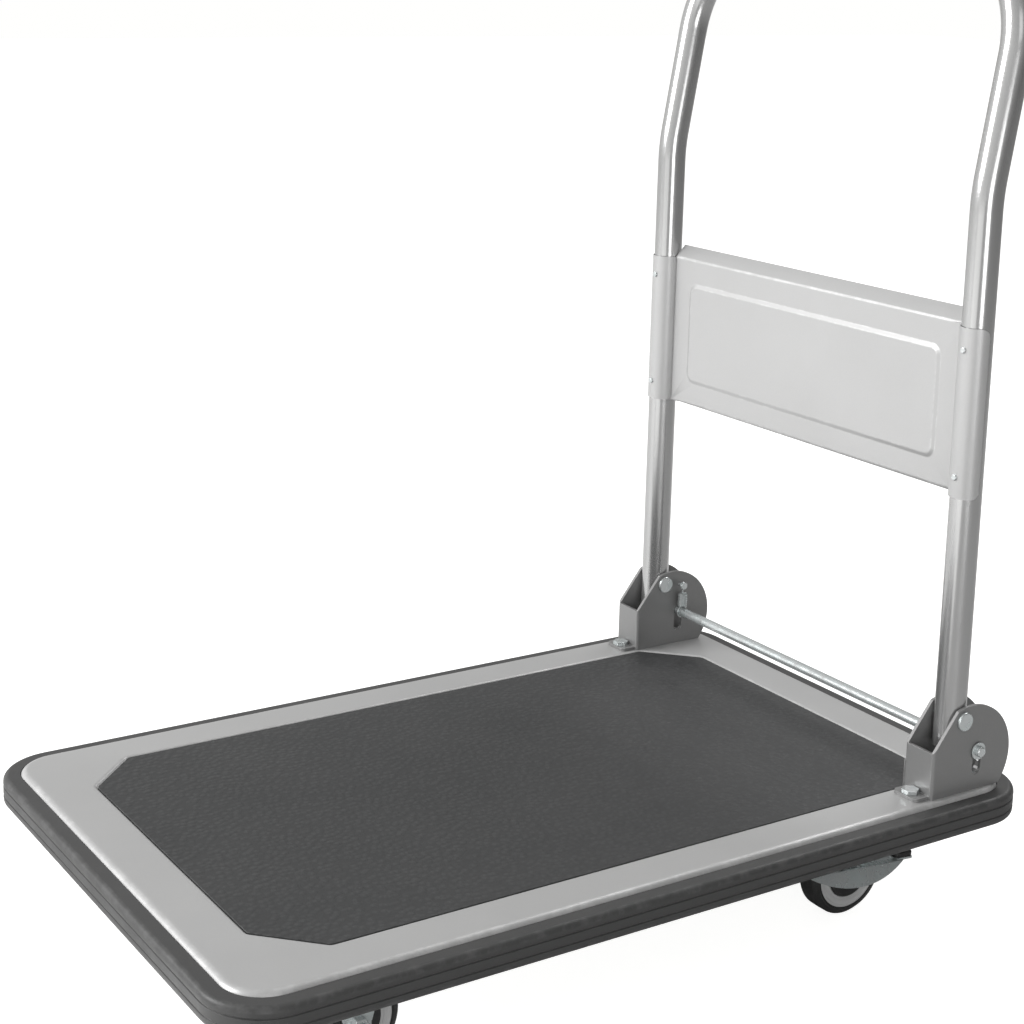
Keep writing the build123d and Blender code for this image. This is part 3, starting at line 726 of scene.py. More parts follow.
ZINC_SHEET = Plating("zinc plated sheet", "zinc_sheet")
ZINC_STEEL = Plating("zinc plated steel", "zinc_steel", light=(0.70, 0.71, 0.71, 1.0),
                     shade=(0.60, 0.62, 0.63, 1.0), roughness=0.2, pit_depth=0.006 * MM)


# ---------------------------------------------------------------- forming


def body_of(node: str) -> str:
    """The body that a node moves with."""
    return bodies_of(frame["nodes"][node])[0]


def middle(node: str) -> Vector:
    """The middle of a node's box."""
    low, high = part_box(node)
    return (low + high) / 2


def half_size(node: str) -> Vector:
    """Half the size of a node's box."""
    low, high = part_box(node)
    return (high - low) / 2


def of_kind(items: Sequence[Any], kind: type) -> list[Any]:
    """The items of one kind, out of a mix of points, edges and faces."""
    return [item for item in items if isinstance(item, kind)]


def edges_at(points: Sequence[bmesh.types.BMVert]) -> Loop:
    """The edges that meet any of some points, each once."""
    return list(dict.fromkeys(edge for point in points for edge in point.link_edges))


def points_of(edges: Loop) -> list[bmesh.types.BMVert]:
    """The points of some edges, each once."""
    return list(dict.fromkeys(point for edge in edges for point in edge.verts))


def round_edges(form: bmesh.types.BMesh, edges: Sequence[bmesh.types.BMEdge], width: float,
                segments: int = 3) -> None:
    """Bevel edges round, and mark the middle of each bevel as an edge that can wear.

    Args:
        form: The form being made.
        edges: Edges to bevel.
        width: Bevel width in metres.
        segments: Faces across the bevel.
    """
    if not edges:
        return
    done = bmesh.ops.bevel(form, geom=list(edges), offset=width, offset_type="OFFSET",
                           segments=segments, profile=0.5, affect="EDGES", clamp_overlap=True,
                           material=-1)
    layer = form.verts.layers.float.get(WORN_EDGE) or form.verts.layers.float.new(WORN_EDGE)
    fresh = set(done["faces"])
    for face in fresh:
        for vert in face.verts:
            if all(near in fresh for near in vert.link_faces):
                vert[layer] = 1.0


def sharp_edges(form: bmesh.types.BMesh, degrees: float = 30.0) -> Loop:
    """The edges whose two faces meet at more than an angle.

    Args:
        form: The form to look at.
        degrees: The angle.

    Returns:
        Those edges.
    """
    limit = math.radians(degrees)
    return [edge for edge in form.edges if edge.is_manifold and edge.calc_face_angle() > limit]


def copied(node: str) -> bmesh.types.BMesh:
    """A merged copy of a node's own mesh, with its flat faces whole.

    Args:
        node: The node's name.

    Returns:
        The copy.
    """
    form = bmesh.new()
    form.from_mesh(frame["nodes"][node].data)
    bmesh.ops.remove_doubles(form, verts=form.verts, dist=CLOSE)
    bmesh.ops.dissolve_limit(form, angle_limit=math.radians(0.4), verts=form.verts,
                             edges=form.edges, use_dissolve_boundaries=False)
    return form


def rounded_loop(form: bmesh.types.BMesh, width: float, length: float, corner: float,
                 level: float, segments: int = 15) -> Loop:
    """A flat rounded rectangle about the Z axis, as a loop of edges.

    Args:
        form: The form to add it to.
        width: Size along X.
        length: Size along Y.
        corner: Corner radius.
        level: Height.
        segments: Edges round each corner.

    Returns:
        The loop's edges.
    """
    made = bmesh.ops.create_grid(form, x_segments=1, y_segments=1, size=0.5)
    corners = made["verts"]
    bmesh.ops.scale(form, vec=(width, length, 1.0), verts=corners)
    bmesh.ops.translate(form, vec=(0.0, 0.0, level), verts=corners)
    face = corners[0].link_faces[0]
    if corner > 0:
        rounded = bmesh.ops.bevel(form, geom=corners, offset=corner, offset_type="OFFSET",
                                  segments=segments, profile=0.5, affect="VERTICES", material=-1)
        face = rounded["verts"][0].link_faces[0]
    edges = list(face.edges)
    bmesh.ops.delete(form, geom=[face], context="FACES_ONLY")
    return edges


def cut_corner_loop(form: bmesh.types.BMesh, width: float, length: float, cut: float,
                    level: float, ease: float, segments: int = 7) -> Loop:
    """A rectangle with its corners cut off at 45 degrees and each new corner eased.

    Args:
        form: The form to add it to.
        width: Size along X.
        length: Size along Y.
        cut: How far each corner is cut back.
        level: Height.
        ease: Radius of the eased corners.
        segments: Edges round each eased corner.

    Returns:
        The loop's edges.
    """
    edges = rounded_loop(form, width, length, cut, level, segments=1)
    face = bmesh.ops.contextual_create(form, geom=edges)["faces"][0]
    bmesh.ops.bevel(form, geom=list(face.verts), offset=ease, offset_type="OFFSET",
                    segments=segments, profile=0.5, affect="VERTICES", material=-1)
    face = max((f for f in form.faces if abs(f.calc_center_median().z - level) < CLOSE),
               key=lambda f: f.calc_area())
    edges = list(face.edges)
    bmesh.ops.delete(form, geom=[face], context="FACES_ONLY")
    return edges


def in_order(loop: Loop) -> list[bmesh.types.BMVert]:
    """The points of a loop round the Z axis, counted anticlockwise from the +X side."""
    return sorted(points_of(loop), key=lambda vert: math.atan2(vert.co.y, vert.co.x) % math.tau)


def bridged(form: bmesh.types.BMesh, first: Loop, second: Loop) -> None:
    """Skin the gap between two loops round the Z axis, point to point when they have as many.

    Args:
        form: The form being made.
        first: One loop.
        second: The other loop.
    """
    if len(first) != len(second):
        bmesh.ops.bridge_loops(form, edges=first + second)
        return
    near, far = in_order(first), in_order(second)
    for here in range(len(near)):
        bmesh.ops.contextual_create(form, geom=[near[here - 1], near[here], far[here],
                                                far[here - 1]])


def both_flanks(flank: Outline, crown: Sequence[tuple[float, float]] = ()) -> Outline:
    """A closed outline: the flank mirrored, the points between the flanks, and the flank."""
    return [(-along, away) for along, away in flank] + list(crown) + flank[::-1]


def turned(form: bmesh.types.BMesh, outline: Outline, centre: Vector, axis: Vector) -> None:
    """Spin a closed outline of (along the axis, away from it) points full circle.

    Args:
        form: The form to add it to.
        outline: The outline's points, in metres.
        centre: A point on the axis, from which the first number is measured.
        axis: The axis's direction.
    """
    out = axis.orthogonal().normalized()
    verts = [form.verts.new(centre + axis * along + out * away) for along, away in outline]
    edges = [form.edges.new(pair) for pair in zip(verts, verts[1:] + verts[:1])]
    bmesh.ops.spin(form, geom=verts + edges, cent=centre, axis=axis, angle=math.tau,
                   steps=ROUND_STEPS, use_merge=True)
    bmesh.ops.recalc_face_normals(form, faces=form.faces)


def meshed(form: bmesh.types.BMesh, name: str) -> bpy.types.Mesh:
    """Turn a form into a mesh.

    Args:
        form: The form, which is freed.
        name: The mesh's name.

    Returns:
        The mesh.
    """
    mesh = bpy.data.meshes.new(name)
    form.to_mesh(mesh)
    form.free()
    return mesh


def added(name: str, data: bpy.types.ID) -> bpy.types.Object:
    """Add an object to the scene.

    Args:
        name: The object's name.
        data: The mesh, light or camera that it holds.

    Returns:
        The object.
    """
    thing = bpy.data.objects.new(name, data)
    bpy.context.scene.collection.objects.link(thing)
    return thing


def publish(form: bmesh.types.BMesh, name: str, finish: Finish, node: str,
            crease: float = 34.0) -> bpy.types.Object:
    """Turn a finished form into a dressed piece that replaces a node and rides on its body.

    Args:
        form: The finished form, which is freed.
        name: The piece's name.
        finish: Its finish.
        node: The node that it stands for.
        crease: Edges sharper than this stay crisp, in degrees.

    Returns:
        The piece.
    """
    mesh = meshed(form, name)
    mesh.polygons.foreach_set("use_smooth", [True] * len(mesh.polygons))
    mesh.set_sharp_from_angle(angle=math.radians(crease))
    mesh.materials.append(finish.material())
    piece = added(name, mesh)
    even = piece.modifiers.new("even shading", "WEIGHTED_NORMAL")
    even.keep_sharp = True
    body = body_of(node)
    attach(piece, body)
    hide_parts(node)
    log.info("%s: %d faces on %s, %s", name, len(mesh.polygons), body, finish.name)
    return piece


def thicken(piece: bpy.types.Object, sheet: float) -> None:
    """Give a sheet its thickness, half to each side, before its shading is evened.

    Args:
        piece: The sheet, modelled along its middle.
        sheet: Its thickness.
    """
    wall = piece.modifiers.new("sheet thickness", "SOLIDIFY")
    wall.thickness = sheet
    wall.offset = 0.0
    piece.modifiers.move(1, 0)


def dressed(node: str, finish: Finish, edge: float = 0.0, segments: int = 3) -> bpy.types.Object:
    """A copy of a node with its sharp edges eased, wearing a finish.

    Args:
        node: The node's name.
        finish: Its finish.
        edge: Width of the eased edges, or 0 to leave them.
        segments: Faces across each eased edge.

    Returns:
        The piece.
    """
    form = copied(node)
    if edge:
        round_edges(form, sharp_edges(form), edge, segments)
    return publish(form, f"{node}_dressed", finish, node)


# ---------------------------------------------------------------- deck


@dataclass
class PressedDeck:
    """The pressed steel deck, the rubber mat in its recess, and the bumper round its edge."""

    sheet: float = 1.6 * MM
    corner: float = 35.0 * MM
    rim: float = 6.0 * MM
    shoulder: float = 8.0 * MM
    shoulder_cut: float = 2.4 * MM
    recess: float = 2.2 * MM
    recess_corner: float = 3.0 * MM
    recess_ease: float = 1.1 * MM
    mat_gap: float = 1.0 * MM
    mat_cut: float = 44.0 * MM
    mat_corner: float = 2.0 * MM
    mat_edge: float = 0.7 * MM
    bumper_lip: float = 4.0 * MM
    bumper_round: float = 5.0 * MM
    groove_width: float = 1.6 * MM
    groove_depth: float = 1.0 * MM
    groove_edge: float = 0.3 * MM

    def build(self) -> None:
        """Make the three pieces."""
        self.panel()
        self.mat()
        self.bumper()

    def panel(self) -> None:
        """The deck pressing: skirt, rolled rim, flat border and the step down to the mat."""
        low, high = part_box("deck_panel")
        mat_low, mat_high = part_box("deck_mat")
        half = self.sheet / 2
        top = high.z - half
        width, length = high.x - low.x - self.sheet, high.y - low.y - self.sheet
        well_width = mat_high.x - mat_low.x + 2 * self.mat_gap
        well_length = mat_high.y - mat_low.y + 2 * self.mat_gap
        inset = 2 * self.rim + self.sheet
        corner = self.corner - half
        form = bmesh.new()
        skirt = rounded_loop(form, width, length, corner, low.z)
        brim = rounded_loop(form, width, length, corner, top)
        rings = [skirt, brim,
                 rounded_loop(form, width - inset, length - inset, corner - inset / 2, top)]
        for wider, cut, level in ((self.shoulder, self.mat_cut + self.shoulder_cut, top),
                                  (self.recess, self.mat_cut, top),
                                  (0.0, self.mat_cut, top - self.recess)):
            rings.append(cut_corner_loop(form, well_width + wider, well_length + wider, cut, level,
                                         self.recess_corner))
        for ring, following in zip(rings, rings[1:]):
            bridged(form, ring, following)
        bmesh.ops.contextual_create(form, geom=rings[-1])
        bmesh.ops.recalc_face_normals(form, faces=form.faces)
        round_edges(form, brim, self.rim - half, 6)
        reach = well_width / 2 + self.shoulder
        lowest = top - 2 * self.recess
        creases = [edge for edge in sharp_edges(form, 20.0)
                   if all(v.co.z > lowest and abs(v.co.x) < reach for v in edge.verts)]
        round_edges(form, creases, self.recess_ease)
        thicken(publish(form, "pressed_deck", SILVER, "deck_panel", 50.0), self.sheet)

    def mat(self) -> None:
        """The mat: a thin rubber sheet with cut corners and an eased top edge."""
        low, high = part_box("deck_mat")
        form = bmesh.new()
        top = cut_corner_loop(form, high.x - low.x, high.y - low.y, self.mat_cut, high.z,
                              self.mat_corner)
        face = bmesh.ops.contextual_create(form, geom=top)["faces"][0]
        wall = bmesh.ops.extrude_face_region(form, geom=[face], use_keep_orig=True)["geom"]
        bmesh.ops.translate(form, vec=(0.0, 0.0, low.z - high.z),
                            verts=of_kind(wall, bmesh.types.BMVert))
        bmesh.ops.recalc_face_normals(form, faces=form.faces)
        rim = [edge for edge in sharp_edges(form, 60.0)
               if all(abs(v.co.z - high.z) < CLOSE for v in edge.verts)]
        round_edges(form, rim, self.mat_edge)
        publish(form, "rubber_mat", MAT_RUBBER, "deck_mat")

    def bumper(self) -> None:
        """The bumper: a rounded rubber strip with two grooves and a lip under the skirt."""
        low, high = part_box("edge_bumper")
        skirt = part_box("deck_panel")[0]
        width, length, height = high - low
        reach = skirt.x - low.x
        lip = reach + self.bumper_lip
        outline = [(0.0, low.z)]
        for share in (1 / 3, 2 / 3):
            level = low.z + height * share
            outline += [(0.0, level - self.groove_width / 2),
                        (self.groove_depth, level - self.groove_width / 4),
                        (self.groove_depth, level + self.groove_width / 4),
                        (0.0, level + self.groove_width / 2)]
        crown = len(outline)
        outline += [(0.0, high.z), (reach, high.z), (reach, skirt.z), (lip, skirt.z), (lip, low.z)]
        form = bmesh.new()
        rings = [rounded_loop(form, width - 2 * inset, length - 2 * inset,
                              self.corner + reach - inset, level) for inset, level in outline]
        for ring, following in zip(rings, rings[1:] + rings[:1]):
            bridged(form, ring, following)
        bmesh.ops.recalc_face_normals(form, faces=form.faces)
        round_edges(form, [edge for ring in rings[1:crown] for edge in ring], self.groove_edge, 2)
        round_edges(form, rings[0] + rings[crown], self.bumper_round, 6)
        publish(form, "edge_bumper_strip", BUMPER_RUBBER, "edge_bumper", 40.0)


@dataclass
class UnderFrame:
    """The folded steel channels and rails under the deck."""

    edge: float = 0.6 * MM

    def build(self) -> None:
        """Dress the four pieces."""
        for node in ("front_caster_channel", "rear_caster_channel", "deck_rail_right",
                     "deck_rail_left"):
            dressed(node, UNDER_GREY, self.edge)


# ---------------------------------------------------------------- casters


@dataclass
class Wheel:
    """One wheel: rubber tyre, grey nylon hub, black thread guards and a steel bush."""

    end: End
    side: Side
    shoulder: float = 4.0 * MM
    shoulder_round: float = 1.6 * MM
    crown: float = 0.15 * MM
    band: float = 1.8 * MM
    band_step: float = 1.0 * MM
    hub_radius: float = 11.0 * MM
    web_half: float = 4.0 * MM
    ring_gap: float = 0.5 * MM
    ring_dish: float = 0.7 * MM
    guard_dome: float = 0.5 * MM

    def __post_init__(self) -> None:
        """Read the wheel's place and radii from its nodes."""
        self.name = f"{self.end.value}_{self.side.label}"
        tyre, hub, guards, bush = (half_size(f"{part}_{self.name}") for part in
                                   ("tyre", "wheel_hub", "wheel_guards", "wheel_bush"))
        self.centre = middle(f"tyre_{self.name}")
        self.radius, self.half = tyre.z, tyre.x
        self.bore, self.hub_half = hub.z, hub.x
        self.guard_radius, self.guard_half = guards.z, guards.x
        self.bush_radius = bush.z

    def build(self) -> None:
        """Make the wheel's four pieces."""
        self.tyre()
        self.hub()
        self.guards()
        dressed(f"wheel_bush_{self.name}", ZINC_STEEL, 0.2 * MM, 2)

    def tyre(self) -> None:
        """The tyre: a slightly crowned tread, round shoulders and a band on each side."""
        band = self.bore + self.band
        inner = self.half - self.band_step
        flank = [(inner, self.bore), (inner, band), (self.half - 0.4 * MM, band + 0.6 * MM),
                 (self.half, band + 1.2 * MM), (self.half, self.radius - self.shoulder),
                 (self.half - self.shoulder, self.radius - self.crown)]
        form = bmesh.new()
        turned(form, both_flanks(flank, [(0.0, self.radius)]), self.centre, X_AXIS)
        corners = [edge for edge in sharp_edges(form)
                   if (edge.verts[0].co - self.centre).length > self.radius - self.shoulder]
        round_edges(form, corners, self.shoulder_round, 4)
        publish(form, f"moulded_tyre_{self.name}", TYRE_RUBBER, f"tyre_{self.name}")

    def hub(self) -> None:
        """The hub: a dished ring under the tyre, joined to the boss by a web."""
        ring = self.guard_radius + self.ring_gap
        dish = self.hub_half - self.ring_dish
        flank = [(self.hub_half, self.bush_radius), (self.hub_half, self.hub_radius),
                 (self.web_half, self.hub_radius + 1.0 * MM), (self.web_half, ring - 1.0 * MM),
                 (self.hub_half, ring), (self.hub_half, ring + 2.2 * MM), (dish, ring + 3.0 * MM),
                 (dish, self.bore - 2.6 * MM), (self.hub_half, self.bore - 1.8 * MM),
                 (self.hub_half, self.bore)]
        form = bmesh.new()
        turned(form, both_flanks(flank), self.centre, X_AXIS)
        round_edges(form, sharp_edges(form), 0.3 * MM, 2)
        publish(form, f"nylon_hub_{self.name}", HUB_NYLON, f"wheel_hub_{self.name}")

    def guards(self) -> None:
        """The thread guards: a thin disc on each face with a raised rim."""
        inner, outer = self.hub_half, self.guard_half
        dome = outer - self.guard_dome
        outline = [(inner, self.bush_radius), (outer, self.bush_radius), (outer, self.hub_radius),
                   (dome, self.hub_radius + 1.2 * MM), (dome, self.guard_radius - 2.0 * MM),
                   (outer, self.guard_radius - 1.2 * MM), (outer, self.guard_radius - 0.4 * MM),
                   (inner, self.guard_radius)]
        form = bmesh.new()
        for sign in (-1, 1):
            turned(form, [(sign * along, away) for along, away in outline], self.centre, X_AXIS)
        round_edges(form, sharp_edges(form, 35.0), 0.15 * MM, 2)
        publish(form, f"guard_discs_{self.name}", GUARD_PLASTIC, f"wheel_guards_{self.name}")


@dataclass
class Brake:
    """The foot brake of a swivel caster: zinc pedal, ribbed rubber pad and its two rivets."""

    side: Side
    edge: float = 0.45 * MM
    rivet_edge: float = 0.4 * MM
    tilt: float = 5.0
    pad_start: float = 31.0 * MM
    pad_drop: float = 9.0 * MM
    pad_width: float = 42.0 * MM
    pad_length: float = 20.0 * MM
    pad_thickness: float = 5.0 * MM
    pad_corner: float = 4.0 * MM
    pad_edge: float = 1.2 * MM
    rib_count: int = 5
    rib_height: float = 0.9 * MM
    rib_share: float = 0.55
    rib_edge: float = 0.4 * MM
    end_margin: float = 3.0 * MM
    side_margin: float = 7.0 * MM

    def build(self) -> None:
        """Dress the pedal and rivets, and make the pad."""
        dressed(f"brake_pedal_{self.side.label}", ZINC_SHEET, self.edge)
        dressed(f"brake_rivets_{self.side.label}", ZINC_STEEL, self.rivet_edge)
        self.pad()

    def pad(self) -> None:
        """The pad: a rounded block with ribs across its top, tilted with the pedal."""
        node = f"brake_pad_{self.side.label}"
        base = self.pad_thickness - self.rib_height
        form = bmesh.new()
        foot, head = (rounded_loop(form, self.pad_width, self.pad_length, self.pad_corner, level, 6)
                      for level in (0.0, base))
        bridged(form, foot, head)
        bmesh.ops.contextual_create(form, geom=foot)
        bmesh.ops.contextual_create(form, geom=head)
        bmesh.ops.recalc_face_normals(form, faces=form.faces)
        round_edges(form, head, self.pad_edge, 4)
        pitch = (self.pad_length - self.end_margin) / self.rib_count
        for number in range(self.rib_count):
            rib = bmesh.ops.create_cube(form, size=1.0)["verts"]
            bmesh.ops.scale(form, vec=(self.pad_width - self.side_margin, pitch * self.rib_share,
                                       2 * self.rib_height), verts=rib)
            bmesh.ops.translate(form, vec=(0.0, (number - (self.rib_count - 1) / 2) * pitch, base),
                                verts=rib)
            top = [edge for edge in edges_at(rib) if all(v.co.z > base for v in edge.verts)]
            round_edges(form, top, self.rib_edge, 2)
        lift = Matrix.Translation((0.0, self.pad_start + self.pad_length / 2, -self.pad_drop))
        tilt = Matrix.Rotation(-math.radians(self.tilt), 4, "X")
        pivot = Matrix.Translation(middle(f"brake_rivets_{self.side.label}"))
        bmesh.ops.transform(form, matrix=pivot @ tilt @ lift, verts=form.verts)
        publish(form, f"ribbed_{node}", PAD_RUBBER, node)


@dataclass
class Caster:
    """One caster with its wheel, and its swivel race and brake at the rear."""

    end: End
    side: Side
    edge: float = 0.5 * MM

    def build(self) -> None:
        """Dress the caster's steel and build its wheel and brake."""
        name = self.side.label
        if self.end is End.FRONT:
            dressed(f"fixed_fork_{name}", ZINC_SHEET, self.edge)
        else:
            dressed(f"swivel_plate_{name}", ZINC_SHEET, self.edge)
            dressed(f"swivel_fork_{name}", ZINC_SHEET, self.edge)
            dressed(f"swivel_balls_{name}", ZINC_STEEL)
            dressed(f"axle_bolts_rear_{name}", ZINC_STEEL, 0.35 * MM)
            dressed(f"axle_nuts_rear_{name}", ZINC_STEEL, 0.35 * MM)
            Brake(self.side).build()
        Wheel(self.end, self.side).build()


@dataclass
class Fasteners:
    """The bolts, nuts, pins and small turned parts that hold the cart together."""

    edge: float = 0.35 * MM

    def build(self) -> None:
        """Dress each set."""
        for node in ("caster_bolts", "caster_nuts", "axle_bolts_front", "axle_nuts_front",
                     "king_pins", "bracket_bolts", "bracket_nuts", "pivot_pins", "spring_posts",
                     "panel_rivets"):
            dressed(node, ZINC_STEEL, self.edge)
        dressed("bar_clips", ZINC_STEEL, 0.2 * MM, 2)


# ---------------------------------------------------------------- folding handle


@dataclass
class FoldingHinge:
    """The two hinge brackets, the release bar across them and its two springs."""

    edge: float = 0.7 * MM
    bar_edge: float = 0.3 * MM
    coil_radius: float = 4.2 * MM
    wire: float = 0.7 * MM
    wire_faces: int = 10
    turns: int = 9
    turn_steps: int = 28
    hook_steps: int = 36
    hook_gap: float = 0.1 * MM

    def build(self) -> None:
        """Dress the brackets and bar, and wind the springs."""
        for side in Side:
            dressed(f"hinge_bracket_{side.label}", BRACKET_GREY, self.edge)
            self.spring(side)
        dressed("release_bar", ZINC_STEEL, self.bar_edge)

    def spring(self, side: Side) -> None:
        """A close-wound wire coil, hooked to the bar below it and the post above it.

        Args:
            side: Which side of the cart it is on.
        """
        node = f"release_spring_{side.label}"
        centre = middle(node)
        post = middle("spring_posts").z
        half = self.turns * self.wire
        form = bmesh.new()
        self.coil(form, centre, centre.z - half)
        self.hook(form, centre, middle("release_bar").z, half_size("release_bar").z,
                  centre.z - half)
        self.hook(form, centre, post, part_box(node)[1].z - post - 2 * self.wire - self.hook_gap,
                  centre.z + half)
        bmesh.ops.recalc_face_normals(form, faces=form.faces)
        publish(form, f"wound_{node}", ZINC_STEEL, node)

    def coil(self, form: bmesh.types.BMesh, centre: Vector, bottom: float) -> None:
        """The coil itself, with its two ends closed.

        Args:
            form: The form to add it to.
            centre: The middle of the spring.
            bottom: Height of the coil's lower end.
        """
        start = Matrix.Translation((centre.x + self.coil_radius, centre.y, bottom))
        ring = bmesh.ops.create_circle(form, segments=self.wire_faces, radius=self.wire,
                                       matrix=start @ UPRIGHT)["verts"]
        bmesh.ops.spin(form, geom=ring + edges_at(ring), cent=(centre.x, centre.y, bottom),
                       axis=Z_AXIS, dvec=(0.0, 0.0, 2 * self.wire / self.turn_steps),
                       angle=math.tau * self.turns, steps=self.turn_steps * self.turns)
        bmesh.ops.holes_fill(form, edges=[edge for edge in form.edges if edge.is_boundary], sides=0)

    def hook(self, form: bmesh.types.BMesh, centre: Vector, level: float, hold: float,
             coil_end: float) -> None:
        """A wire ring, the shank that joins it to the coil, and the wire across the coil's end.

        Args:
            form: The form to add it to.
            centre: The middle of the spring.
            level: Height of the ring's centre.
            hold: Radius of what the ring holds.
            coil_end: Height of the coil's end.
        """
        near = level + (hold + self.wire + self.hook_gap) * (1 if level < centre.z else -1)
        start = Matrix.Translation((centre.x, centre.y, near))
        ring = bmesh.ops.create_circle(form, segments=self.wire_faces, radius=self.wire,
                                       matrix=start @ UPRIGHT @ Matrix.Rotation(math.pi / 2, 4, "Z"))
        loop = ring["verts"]
        bmesh.ops.spin(form, geom=loop + edges_at(loop), cent=(centre.x, centre.y, level),
                       axis=X_AXIS, angle=math.tau, steps=self.hook_steps, use_merge=True)
        shank = Matrix.Translation((centre.x, centre.y, (near + coil_end) / 2))
        across = Matrix.Translation((centre.x, centre.y, coil_end)) @ UPRIGHT
        for place, length in ((shank, abs(near - coil_end)), (across, 2 * self.coil_radius)):
            bmesh.ops.create_cone(form, cap_ends=True, segments=self.wire_faces, radius1=self.wire,
                                  radius2=self.wire, depth=length, matrix=place)


@dataclass
class PushHandle:
    """The bent tube handle and the pressed panel riveted between its legs."""

    tube_radius: float = 13.0 * MM
    wall: float = 1.5 * MM
    pin_hole: float = 5.06 * MM
    lean: float = 10.0
    bend_height: float = 613.0 * MM
    lean_radius: float = 170.0 * MM
    corner_radius: float = 92.0 * MM
    sheet: float = 1.2 * MM
    sleeve_gap: float = 0.1 * MM
    sleeve_wrap: float = 145.0
    sleeve_tip: float = 35.0
    sleeve_corner: float = 8.0 * MM
    hem: float = 7.0 * MM
    hem_bend: float = 3.4 * MM
    band: float = 11.0 * MM
    band_bend: float = 1.5 * MM
    band_slope: float = 40.0
    end_relief: float = 1.2 * MM
    emboss_depth: float = 1.6 * MM
    emboss_side: float = 24.0 * MM
    emboss_edge: float = 22.0 * MM
    emboss_corner: float = 10.0 * MM
    emboss_slope: float = 3.4 * MM
    emboss_bend: float = 0.9 * MM

    def __post_init__(self) -> None:
        """Find the right leg from the tube's box."""
        low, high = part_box("handle_tube")
        self.leg_x = high.x - self.tube_radius
        self.leg_y = low.y + self.tube_radius

    def build(self) -> None:
        """Bend the tube and press the panel."""
        self.tube()
        self.panel()

    def tube(self) -> None:
        """One leg, its slight lean, the top corner and half the top bar, then its mirror."""
        low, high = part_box("handle_tube")
        top = high.z - self.tube_radius
        angle = math.radians(self.lean)
        along = Vector((0.0, math.sin(angle), math.cos(angle)))
        short = self.lean_radius * math.tan(angle / 2)
        form = bmesh.new()
        start = Vector((self.leg_x, self.leg_y, low.z))
        ring = bmesh.ops.create_circle(form, segments=64, radius=self.tube_radius)["verts"]
        bmesh.ops.translate(form, vec=start, verts=ring)
        edges = edges_at(ring)
        edges = self.pushed(form, edges, Vector((0.0, 0.0, self.bend_height - short - low.z)))
        edges = self.bent(form, edges, Vector((self.leg_x, self.leg_y + self.lean_radius,
                                               self.bend_height - short)), -X_AXIS, angle, 8)
        corner = Vector((self.leg_x, self.leg_y + (top - self.bend_height) * math.tan(angle), top))
        straight = (top - self.bend_height) / math.cos(angle) - short - self.corner_radius
        edges = self.pushed(form, edges, along * straight)
        hub = corner - along * self.corner_radius - X_AXIS * self.corner_radius
        edges = self.bent(form, edges, hub, Vector((0.0, -math.cos(angle), math.sin(angle))),
                          math.pi / 2, 28)
        self.pushed(form, edges, -X_AXIS * (self.leg_x - self.corner_radius))
        bmesh.ops.mirror(form, geom=form.verts[:] + form.edges[:] + form.faces[:], axis="X",
                         merge_dist=CLOSE)
        bmesh.ops.remove_doubles(form, verts=form.verts, dist=10 * CLOSE)
        bmesh.ops.recalc_face_normals(form, faces=form.faces)
        publish(self.drilled(form), "bent_handle_tube", TUBE_SILVER, "handle_tube")

    def drilled(self, form: bmesh.types.BMesh) -> bmesh.types.BMesh:
        """Give the tube its wall, and drill both legs for the pivot pins.

        Args:
            form: The tube's outer skin, which is freed.

        Returns:
            The walled and drilled tube.
        """
        pivot = middle("pivot_pins")
        holes = bmesh.new()
        for side in Side:
            across = Matrix.Translation((side.value * self.leg_x, pivot.y, pivot.z))
            bmesh.ops.create_cone(holes, cap_ends=True, segments=48, radius1=self.pin_hole,
                                  radius2=self.pin_hole, depth=4 * self.tube_radius,
                                  matrix=across @ Matrix.Rotation(math.pi / 2, 4, "Y"))
        blank = added("tube blank", meshed(form, "tube blank"))
        drill = added("pin drill", meshed(holes, "pin drill"))
        wall = blank.modifiers.new("tube wall", "SOLIDIFY")
        wall.thickness = self.wall
        wall.offset = -1.0
        cut = blank.modifiers.new("pin holes", "BOOLEAN")
        cut.operation = "DIFFERENCE"
        cut.solver = "EXACT"
        cut.object = drill
        done = bmesh.new()
        done.from_object(blank, bpy.context.evaluated_depsgraph_get())
        for part in (blank, drill):
            bpy.data.objects.remove(part)
        return done

    def pushed(self, form: bmesh.types.BMesh, edges: Loop, move: Vector) -> Loop:
        """Extrude a loop of edges straight.

        Args:
            form: The form being made.
            edges: The loop.
            move: How far and which way.

        Returns:
            The loop at the far end.
        """
        made = bmesh.ops.extrude_edge_only(form, edges=edges)["geom"]
        bmesh.ops.translate(form, vec=move, verts=of_kind(made, bmesh.types.BMVert))
        return of_kind(made, bmesh.types.BMEdge)

    def bent(self, form: bmesh.types.BMesh, edges: Loop, centre: Vector, axis: Vector,
             angle: float, steps: int) -> Loop:
        """Sweep a loop of edges round a bend.

        Args:
            form: The form being made.
            edges: The loop.
            centre: A point on the bend's axis.
            axis: The bend's axis.
            angle: How far round, in radians.
            steps: Faces along the bend.

        Returns:
            The loop at the far end.
        """
        made = bmesh.ops.spin(form, geom=points_of(edges) + edges, cent=centre, axis=axis,
                              angle=angle, steps=steps)["geom_last"]
        return of_kind(made, bmesh.types.BMEdge)

